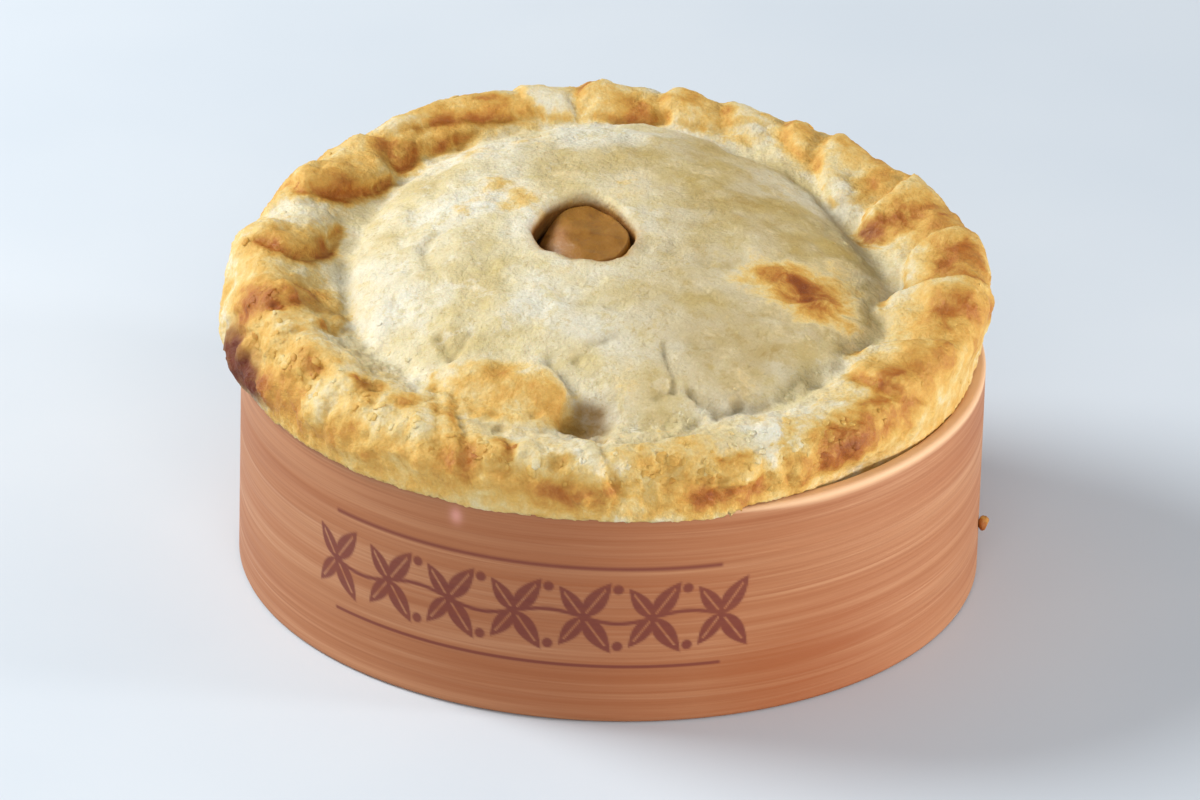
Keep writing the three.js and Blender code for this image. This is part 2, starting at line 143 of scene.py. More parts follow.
# soft lumps: x, y, z, size, height
BUMPS = [
    (-59.9, 6.0, 50.2, 4.0, 1.2), (-60.5, 1.1, 49.1, 4.0, 0.8), (-61.4, -4.1, 44.8, 4.0, 0.6),
    (37.8, 37.4, 53.4, 3.0, 0.5), (30.4, 43.5, 54.0, 2.2, 0.6), (20.0, 50.3, 55.4, 2.4, 0.5), (23.8, 49.3, 55.1, 2.4, 0.4),
    (11.8, 51.2, 55.8, 3.2, 0.5), (-1.8, 52.2, 56.6, 4.0, 0.6), (-12.0, 51.6, 56.7, 3.6, 0.5), (-24.8, 47.6, 56.1, 3.4, 0.5),
    (-29.5, 41.0, 53.9, 2.4, 0.5), (-36.2, 35.6, 53.5, 2.2, 0.6), (-52.0, -26.0, 49.0, 3.2, 0.7), (-47.6, -29.4, 49.6, 2.8, 0.6),
    (-51.0, -31.1, 45.9, 3.0, 0.6), (-43.6, -38.4, 46.6, 3.2, 0.8), (-44.6, -33.4, 49.0, 2.6, 0.5), (-35.5, -44.8, 45.9, 3.0, 0.7),
    (-37.6, -42.4, 46.6, 2.2, 0.5), (-33.0, -49.7, 44.3, 3.0, 0.5), (-29.1, -49.1, 45.9, 2.6, 0.6), (-40.9, -45.9, 41.3, 3.4, 0.4),
    (-20.4, -54.7, 45.5, 2.8, 0.6), (-17.9, -57.8, 42.7, 3.0, 0.4), (-11.8, -56.9, 45.6, 2.8, 0.6), (-5.6, -56.5, 46.0, 2.8, 0.6),
    (-3.1, -59.5, 44.1, 2.6, 0.5), (1.0, -57.4, 45.8, 2.6, 0.7), (6.1, -55.5, 46.1, 2.8, 0.6), (12.3, -56.0, 45.4, 3.0, 0.6),
    (4.7, -59.7, 42.7, 2.8, 0.4), (17.1, -56.5, 43.2, 2.4, 0.5), (21.0, -55.3, 42.8, 2.0, 0.5), (24.9, -53.5, 42.8, 2.4, 0.5),
    (29.6, -51.3, 41.9, 3.0, 0.5), (36.6, -45.7, 43.3, 3.0, 0.7), (39.3, -43.1, 43.8, 2.0, 0.5), (-0.4, -39.1, 48.3, 5.5, 0.9),
    (5.1, -39.6, 48.0, 4.0, 0.6), (10.7, -42.0, 46.3, 3.6, 0.5), (16.3, -40.3, 46.5, 2.4, 0.5), (19.2, -34.4, 48.9, 4.0, 0.4),
    (13.6, -30.3, 51.1, 4.0, 0.3), (-8.6, -27.0, 52.3, 4.0, 0.3), (-19.6, -28.2, 50.8, 5.0, 0.3), (-37.5, -12.7, 49.7, 5.0, 0.3),
    (-39.9, 11.5, 50.6, 5.0, 0.3), (-25.0, -5.1, 54.6, 3.0, 0.5), (-26.4, -12.1, 53.4, 3.0, 0.3), (-18.3, -18.9, 53.3, 4.0, 0.3),
    (-29.2, -21.4, 50.7, 4.0, 0.3), (26.2, -23.0, 51.5, 4.0, 0.4), (23.0, -2.0, 55.3, 5.0, 0.4), (13.3, 5.7, 56.7, 5.0, 0.3),
    (6.7, 21.8, 58.0, 5.0, 0.3), (-16.2, 29.9, 57.1, 4.0, 0.4), (-25.4, 10.9, 55.8, 3.5, 0.4), (-24.3, 28.8, 55.5, 3.0, 0.3),
    (1.8, -34.7, 50.2, 3.0, 0.4), (-12.0, -16.7, 54.2, 4.0, 0.2), (34.2, -1.7, 53.0, 4.0, 0.4), (39.1, -14.4, 49.5, 3.0, 0.4),
    (29.4, -45.0, 46.6, 5.0, 0.5), (23.2, -48.6, 46.5, 4.0, 0.5),
]

# the fold of pastry laid over the edge of the lid in front: its outline from above
FLAP = [(-29.8, -36.5), (-28.5, -32.6), (-26.0, -31.4), (-21.3, -32.4), (-16.3, -33.5), (-11.5, -34.3), (-8.8, -36.2), (-6.9, -39.0), (-6.4, -42.5), (-7.4, -45.8), (-11.0, -47.6), (-16.0, -47.9), (-20.5, -46.6), (-25.0, -43.8), (-28.5, -40.6)]
FLAP_RISE = 2.4

VENT_X, VENT_Y = -5.0, 2.2
VENT_RADII = [8.1, 7.8, 9.3, 11.7, 10.3, 8.8, 8.8, 8.9, 8.8, 9.5, 9.8, 8.6]  # every 30 degrees
VENT_DEPTH = 5.0

FILLING_RADIUS = 53.2
FILLING_BOTTOM = 6.2
FILLING_FOOT_RADIUS = 50.5

GRID = 0.57  # spacing of the field that the pastry is cut from

# cracks in the lid: depth, width, then points (x, y)
CRACKS = [
    (0.5, 0.8, [(-28.3, 3.1), (-30.0, 1.5), (-30.8, -1.8), (-30.7, -4.9), (-29.5, -8.0)]),
    (0.75, 0.6, [(-27.5, -25.5), (-26.7, -27.6), (-26.0, -29.4), (-25.3, -31.1)]),
    (0.6, 0.55, [(-22.6, -26.1), (-23.7, -27.8), (-24.6, -29.4), (-25.3, -31.1)]),
    (0.6, 0.6, [(7.7, -29.3), (8.3, -32.3), (8.8, -35.0), (9.5, -37.3), (9.5, -38.7)]),
    (0.9, 0.8, [(12.2, -38.8), (13.8, -40.0), (15.4, -40.9), (17.1, -41.6), (18.7, -41.1), (19.8, -38.8)]),
    (0.55, 2.1, [(33.9, 25.4), (35.8, 22.4), (37.7, 17.2), (39.3, 11.3), (41.2, 6.0), (43.7, 2.6), (45.5, -2.5)]),
    (0.7, 1.1, [(-43.9, 2.9), (-43.4, -2.6), (-42.8, -8.7), (-42.8, -13.9)]),
    (0.6, 1.0, [(-10.3, -33.6), (-8.2, -35.8), (-6.4, -38.4), (-5.4, -41.0)]),
    (0.5, 0.8, [(-3.8, -30.5), (-2.2, -29.6), (-0.2, -28.4)]),
    (0.5, 0.8, [(6.6, -40.8), (7.9, -39.2)]),
    (0.5, 0.8, [(32.4, -31.1), (29.5, -31.6), (28.3, -32.5)]),
    (0.4, 0.8, [(12.0, -29.0), (13.6, -30.2), (15.5, -29.5)]),
    (0.3, 0.8, [(-8.7, -19.3), (-6.3, -20.9), (-4.0, -20.1)]),
    (0.3, 0.8, [(13.4, -6.7), (16.6, -8.6), (19.0, -6.4)]),
]

# golden places: x, y, z, size, strength
GOLDEN = [
    (45.8, 20.9, 51.6, 4.0, 0.60), (49.8, 21.5, 53.1, 4.0, 0.50), (53.0, 14.7, 53.4, 4.0, 0.60), (55.4, 14.7, 53.0, 2.5, 0.60), (54.3, 2.4, 53.5, 5.0, 0.60),
    (57.6, 1.2, 52.8, 4.0, 0.65), (55.0, -3.3, 53.1, 3.0, 0.70), (59.2, -0.1, 51.2, 3.0, 0.60), (48.6, -11.0, 49.9, 4.0, 0.35), (52.5, -12.7, 51.7, 5.0, 0.50),
    (56.6, -11.1, 51.1, 5.0, 0.60), (59.1, -8.1, 48.8, 3.0, 0.60), (54.9, -16.7, 50.1, 5.0, 0.45), (50.1, -17.9, 50.6, 4.0, 0.30), (59.2, -8.9, 45.7, 3.0, 0.55),
    (57.5, -14.8, 45.8, 3.0, 0.45), (43.6, -28.8, 48.7, 4.0, 0.45), (47.6, -27.0, 49.1, 5.0, 0.45), (51.6, -24.5, 48.6, 4.0, 0.50), (50.9, -27.9, 46.7, 4.0, 0.45),
    (46.0, -31.2, 48.2, 4.0, 0.40), (40.5, -28.7, 47.7, 3.0, 0.35), (42.1, -38.9, 45.4, 4.0, 0.50), (39.7, -40.7, 45.6, 3.0, 0.40), (46.1, -35.3, 44.9, 4.0, 0.35),
    (45.4, -37.4, 42.4, 4.0, 0.40), (42.2, -41.1, 42.4, 4.0, 0.40), (50.1, -30.3, 44.3, 5.0, 0.25), (49.7, -27.0, 37.4, 4.0, 0.20), (36.6, -46.0, 42.9, 4.0, 0.50),
    (32.8, -49.4, 41.0, 4.0, 0.40), (29.6, -51.5, 41.1, 4.0, 0.50), (28.1, -52.4, 39.7, 3.0, 0.40), (25.0, -54.1, 39.6, 3.0, 0.40), (21.0, -55.7, 42.1, 3.5, 0.45),
    (19.5, -56.7, 39.9, 4.0, 0.50), (16.3, -57.5, 42.0, 4.0, 0.40), (14.1, -58.6, 39.8, 4.0, 0.50), (12.4, -56.6, 44.9, 4.0, 0.30), (12.3, -54.0, 46.2, 3.0, 0.30),
    (7.8, -59.3, 42.6, 5.0, 0.36), (7.1, -60.2, 40.4, 5.0, 0.36), (4.6, -59.0, 44.1, 4.0, 0.32), (3.8, -57.1, 45.8, 4.0, 0.28), (0.1, -60.9, 40.5, 5.0, 0.38),
    (-4.6, -60.8, 40.4, 5.0, 0.38), (-7.8, -60.0, 42.4, 5.0, 0.32), (-10.8, -60.1, 39.8, 5.0, 0.36), (-13.9, -59.5, 40.3, 5.0, 0.35), (-17.1, -58.2, 42.1, 5.0, 0.35),
    (-18.8, -56.4, 44.6, 4.0, 0.30), (-21.8, -56.4, 42.8, 5.0, 0.50), (-24.2, -55.9, 41.6, 5.0, 0.45), (-23.5, -53.3, 45.5, 4.0, 0.40), (-25.8, -54.4, 43.4, 4.0, 0.35),
    (-28.1, -54.1, 41.5, 5.0, 0.30), (-32.9, -51.6, 40.9, 5.0, 0.30), (-35.3, -49.9, 41.8, 5.0, 0.30), (-37.7, -48.4, 40.0, 5.0, 0.30), (-40.9, -45.9, 41.3, 5.0, 0.35),
    (-42.5, -44.2, 42.2, 4.0, 0.40), (-44.1, -43.0, 39.7, 5.0, 0.40), (-46.6, -40.2, 39.2, 4.0, 0.45), (-49.1, -37.4, 39.4, 4.0, 0.45), (-50.7, -35.6, 40.2, 4.0, 0.45),
    (-53.3, -31.8, 40.0, 4.0, 0.50), (-54.2, -29.7, 42.5, 4.0, 0.50), (-50.9, -32.4, 44.8, 5.0, 0.45), (-49.4, -31.8, 47.2, 5.0, 0.45), (-47.0, -33.4, 48.1, 4.0, 0.40),
    (-52.7, -27.1, 47.4, 4.0, 0.35), (-55.3, -22.9, 47.0, 4.0, 0.30), (-50.8, -34.9, 42.5, 4.0, 0.40), (-38.7, -42.1, 46.4, 3.0, 0.35), (-38.0, -40.6, 47.5, 3.0, 0.40),
    (-32.4, -42.9, 47.1, 3.0, 0.40), (-26.9, -44.7, 46.4, 3.0, 0.27), (-17.0, -36.2, 48.1, 3.5, 0.54), (-19.4, -35.2, 48.1, 3.0, 0.42), (-9.4, -41.7, 46.4, 4.0, 0.40),
    (-11.4, -39.9, 47.1, 4.0, 0.34), (-14.5, -39.1, 47.1, 4.0, 0.30), (-22.4, -36.3, 46.8, 5.0, 0.22), (-17.6, -40.7, 45.5, 5.0, 0.30), (-58.2, -12.9, 49.3, 4.0, 0.55),
    (-54.9, -15.7, 51.1, 4.0, 0.60), (-51.6, -16.4, 51.2, 4.0, 0.50), (-48.6, -13.0, 49.5, 4.0, 0.45), (-46.3, -10.6, 48.4, 4.0, 0.40), (-44.6, -13.0, 47.9, 3.0, 0.40),
    (-59.9, -9.2, 47.3, 3.0, 0.40), (-61.5, -1.0, 45.2, 3.0, 0.30), (-50.4, -9.2, 50.3, 3.0, 0.40), (-47.3, -6.1, 48.9, 3.0, 0.30), (-56.0, -9.2, 51.9, 4.0, 0.20),
    (-59.4, -3.1, 50.7, 4.0, 0.25), (-54.0, 0.7, 52.6, 4.0, 0.50), (-50.8, 2.3, 51.1, 4.0, 0.45), (-47.7, 4.7, 49.9, 3.0, 0.50), (-52.6, 6.4, 52.5, 3.0, 0.35),
    (-58.0, 1.0, 52.3, 4.0, 0.35), (-59.5, 5.6, 50.9, 3.0, 0.30), (-55.1, 6.7, 53.2, 4.0, 0.25), (-46.3, 10.2, 50.2, 2.5, 0.30), (-50.0, 20.9, 53.9, 4.0, 0.36),
    (-46.9, 23.8, 53.5, 5.0, 0.40), (-43.7, 26.9, 53.1, 5.0, 0.36), (-41.4, 30.3, 53.3, 5.0, 0.36), (-39.9, 34.1, 54.3, 4.0, 0.36), (-38.4, 35.9, 54.5, 3.0, 0.40),
    (-45.4, 28.2, 54.2, 4.0, 0.32), (-48.5, 24.2, 54.1, 4.0, 0.36), (-42.0, 25.5, 52.0, 4.0, 0.36), (-38.9, 29.3, 52.1, 3.0, 0.29), (-36.7, 35.7, 53.7, 3.0, 0.36),
    (-35.8, 32.8, 52.4, 3.0, 0.60), (-51.6, 18.9, 53.9, 3.0, 0.25), (-34.3, 36.6, 53.3, 3.0, 0.50), (-31.2, 41.6, 54.7, 4.0, 0.35), (-28.0, 45.4, 55.8, 4.0, 0.45),
    (-23.9, 47.5, 56.0, 4.0, 0.50), (-19.8, 48.2, 55.7, 4.0, 0.50), (-16.5, 48.5, 55.3, 3.0, 0.40), (-32.1, 44.9, 55.9, 4.0, 0.35), (-29.5, 40.3, 53.6, 4.0, 0.45),
    (-26.2, 41.1, 53.3, 3.0, 0.40), (-24.3, 31.7, 55.0, 3.0, 0.30), (-27.8, 38.4, 52.8, 3.0, 0.35), (-5.1, 52.6, 56.9, 4.0, 0.40), (-1.8, 51.8, 56.4, 4.0, 0.40),
    (1.9, 51.2, 55.9, 4.0, 0.50), (3.2, 49.6, 54.9, 3.0, 0.50), (-5.1, 55.6, 57.1, 3.0, 0.50), (-3.4, 49.9, 55.1, 3.0, 0.35), (11.4, 51.6, 56.0, 4.0, 0.45),
    (14.7, 51.2, 55.8, 3.0, 0.45), (17.2, 50.4, 55.5, 3.0, 0.40), (13.1, 48.4, 54.5, 3.0, 0.30), (24.7, 49.6, 55.1, 3.0, 0.30), (28.8, 44.8, 54.3, 3.0, 0.45),
    (30.9, 42.4, 53.7, 3.0, 0.45), (32.1, 38.9, 52.9, 3.0, 0.40), (39.5, 41.4, 53.5, 4.0, 0.40), (41.1, 37.3, 53.7, 4.0, 0.40), (41.8, 31.5, 52.7, 4.0, 0.45),
    (40.7, 28.0, 51.6, 3.0, 0.40), (43.5, 34.0, 53.5, 3.0, 0.45), (44.3, 28.1, 52.6, 3.0, 0.30), (-19.1, 16.3, 56.9, 4.0, 0.20), (-16.7, 14.2, 57.1, 3.0, 0.24),
    (-17.4, 9.4, 56.8, 3.0, 0.22), (-14.2, 10.7, 57.1, 3.0, 0.27), (-11.8, 14.0, 57.5, 3.0, 0.22), (-25.3, 7.5, 55.6, 4.0, 0.14), (-9.6, 22.5, 57.9, 5.0, 0.14),
    (0.3, 15.9, 57.9, 5.0, 0.16), (3.4, 19.5, 58.0, 4.0, 0.12), (-4.8, 30.3, 58.1, 5.0, 0.08), (-14.6, 34.6, 56.7, 5.0, 0.16), (-17.1, 32.9, 56.5, 4.0, 0.12),
    (29.4, -11.7, 53.2, 8.5, 0.32), (35.9, -3.9, 52.3, 5.0, 0.20), (24.6, 3.5, 55.5, 5.0, 0.10), (34.2, -12.2, 51.8, 5.0, 0.20), (13.2, 23.4, 57.5, 4.0, 0.10),
    (26.2, 22.2, 54.8, 4.0, 0.12),
]

# how golden the rim is all round, every 30 degrees from +X
RIM_GOLD = [0.27, 0.25, 0.25, 0.16, 0.20, 0.20, 0.19, 0.21, 0.17, 0.11, 0.18, 0.26]

# more golden places, those of the flap and of the left outer side
GOLDEN += [
    (-17.0, -36.2, 48.1, 3.5, 0.50), (-22.5, -35.1, 47.4, 3.0, 0.30), (-11.4, -38.2, 48.0, 3.0, 0.36), (-8.9, -42.9, 45.7, 3.0, 0.44), (-14.4, -42.0, 45.4, 4.0, 0.29),
    (-58.1, -14.7, 48.3, 5.0, 0.55), (-55.7, -15.7, 50.7, 5.0, 0.60), (-52.5, -15.3, 51.4, 4.0, 0.50), (-59.7, -14.2, 44.4, 4.0, 0.40), (-57.4, -21.1, 44.4, 4.0, 0.50),
    (-52.4, -33.1, 41.6, 5.0, 0.35), (-45.8, -41.4, 40.6, 5.0, 0.35), (-39.3, -47.1, 39.3, 5.0, 0.35), (-29.7, -53.1, 38.3, 5.0, 0.35), (-19.1, 16.7, 57.0, 3.2, 0.42),
    (-16.0, 12.5, 57.1, 2.6, 0.36), (-17.8, 8.8, 56.7, 2.4, 0.30), (-12.6, 15.2, 57.5, 2.6, 0.26), (-21.5, 12.2, 56.5, 2.4, 0.22), (-25.6, 8.4, 55.6, 3.0, 0.28),
    (-15.5, 33.3, 56.8, 4.0, 0.24), (-21.6, 29.0, 56.2, 3.2, 0.24), (0.6, 16.4, 57.9, 3.0, 0.26), (-6.0, -12.6, 55.0, 3.4, 0.16), (26.4, -8.1, 54.2, 4.0, 0.34),
    (36.0, -8.3, 51.7, 4.2, 0.30), (22.4, -5.4, 55.1, 3.0, 0.20), (3.4, -39.5, 48.1, 3.6, 0.20), (20.8, -35.2, 48.2, 3.4, 0.22),
]

# pale places of the rim: x, y, z, size, strength
PALE = [
    (35.4, 34.9, 52.3, 5.0, 0.66), (37.0, 28.7, 51.2, 4.0, 0.50), (49.6, 4.3, 51.1, 4.0, 0.50), (45.6, -4.4, 48.9, 4.0, 0.50), (54.2, -6.3, 52.7, 4.0, 0.40),
    (42.2, -22.5, 47.8, 4.0, 0.45), (30.3, -37.3, 46.3, 6.0, 0.50), (26.3, -48.1, 46.2, 5.0, 0.43), (22.4, -51.0, 45.9, 5.0, 0.43), (-12.5, 53.0, 57.0, 6.0, 0.60),
    (-8.4, 51.4, 56.4, 5.0, 0.40), (4.6, 55.5, 56.9, 3.0, 0.30), (22.5, 51.4, 55.2, 3.0, 0.50), (23.9, 41.4, 53.0, 8.0, 0.45), (-50.5, 13.4, 52.6, 5.0, 0.70),
    (-54.3, 8.5, 53.3, 4.0, 0.40), (-43.6, -39.3, 45.8, 5.0, 0.50), (-34.1, 32.4, 52.0, 4.0, 0.50), (-26.3, 45.0, 55.2, 4.0, 0.30), (-42.3, 12.4, 49.7, 4.0, 0.40),
    (-43.3, -26.8, 48.4, 4.0, 0.40), (-1.7, -57.5, 45.7, 4.0, 0.40), (4.6, -59.0, 44.1, 4.0, 0.30), (-8.0, -54.1, 46.5, 4.0, 0.40), (-21.9, -56.1, 43.5, 4.0, 0.20),
    (18.9, 44.0, 53.4, 5.0, 0.40), (42.6, 22.1, 50.9, 3.0, 0.30), (-35.4, -47.3, 44.8, 4.0, 0.30),
]

# dark red-brown places: the droop at the left, browned and darkened further with painted shade of its underside, and a
# few browned spots elsewhere
BURNT_AND_DROOP_SHADE = [
    (-60.8, -13.1, 42.1, 2.4, 0.80), (-60.2, -16.0, 41.8, 2.6, 1.00), (-59.8, -18.1, 41.0, 3.0, 1.00), (-59.0, -20.4, 40.4, 3.0, 1.00), (-58.3, -22.0, 39.5, 3.0, 1.00),
    (-57.2, -24.2, 39.2, 2.6, 1.00), (-55.5, -27.7, 39.2, 1.8, 0.70), (-57.9, -21.6, 42.8, 1.8, 0.60), (-61.6, -11.0, 40.5, 2.8, 0.90), (-61.4, -14.0, 38.5, 2.6, 1.00),
    (-60.8, -17.0, 37.2, 2.6, 1.00), (-60.0, -20.0, 36.6, 2.6, 1.00), (-58.8, -23.0, 36.6, 2.4, 0.90), (35.8, -46.0, 43.6, 2.2, 0.26), (38.0, -44.2, 43.6, 1.8, 0.26),
    (40.3, 17.6, 49.9, 1.9, 0.40), (41.4, 15.0, 49.7, 1.6, 0.34), (44.0, 18.8, 50.6, 1.4, 0.18), (31.0, -12.0, 52.4, 2.6, 0.36),
]
# painted shade in dark hollows: the pocket right of the flap, a line along the flap's lower edge and smaller pits
HOLLOW_SHADE = [
    (-2.4, -42.6, 45.0, 1.8, 0.90), (-4.4, -42.2, 45.4, 1.8, 0.90), (-1.6, -44.4, 44.2, 1.5, 0.70),
    (-5.6, -46.2, 43.8, 2.8, 1.00), (-3.6, -46.6, 43.8, 2.8, 1.00), (-2.2, -45.2, 43.6, 2.2, 0.90), (-4.6, -43.9, 44.0, 2.4, 1.00), (-2.8, -43.2, 44.2, 1.8, 0.70),
    (-6.5, -44.4, 45.0, 1.2, 0.70), (-25.8, -44.1, 46.2, 0.9, 0.35), (-24.1, -45.5, 46.0, 0.9, 0.40), (-22.2, -47.0, 45.9, 0.9, 0.45), (-19.9, -47.8, 45.7, 0.9, 0.40),
    (-17.4, -48.3, 45.5, 0.9, 0.40), (-14.8, -48.6, 45.4, 0.9, 0.35), (-12.2, -48.8, 45.2, 0.9, 0.35), (17.3, -42.3, 45.2, 1.4, 0.40), (-8.2, -40.2, 47.4, 1.0, 0.60),
    (-9.4, -37.4, 48.6, 0.9, 0.45), (-43.7, -15.3, 47.6, 1.3, 0.70), (-45.3, -14.1, 48.1, 1.2, 0.50), (-42.8, -18.4, 47.4, 1.0, 0.50), (-38.7, -39.3, 47.9, 1.4, 0.80),
    (-37.3, -38.0, 48.0, 1.0, 0.60), (24.2, -38.2, 45.8, 1.1, 0.50), (19.8, -39.0, 46.5, 1.1, 0.50), (22.0, -39.8, 45.5, 1.2, 0.40), (-8.5, -58.3, 45.0, 1.2, 0.40),
    (-26.5, -45.3, 47.6, 1.2, 0.50), (-49.7, -25.4, 50.2, 1.0, 0.50),
]

# tan places of the lid, most on its right side: partly the pastry's tint, partly painted shade of the side turned from
# the lamp; x, y, size, strength
TAN_AND_SHADE = [
    (19.7, 14.3, 16.0, 1.00), (11.7, -3.8, 12.0, 0.58), (32.6, 2.3, 14.0, 0.90), (5.5, -18.8, 10.0, 0.34), (23.1, -25.6, 12.0, 0.78),
    (37.5, -15.0, 10.0, 0.90), (3.4, 24.9, 10.0, 0.60), (-9.6, 24.5, 10.0, 0.35), (16.4, 35.0, 12.0, 0.90), (4.3, -38.7, 10.0, 0.35),
    (18.5, -38.1, 8.0, 0.62), (13.5, -17.9, 10.0, 0.60), (29.4, -14.1, 10.0, 0.70), (-8.6, -26.8, 8.0, 0.12), (12.0, -30.1, 10.0, 0.55),
]
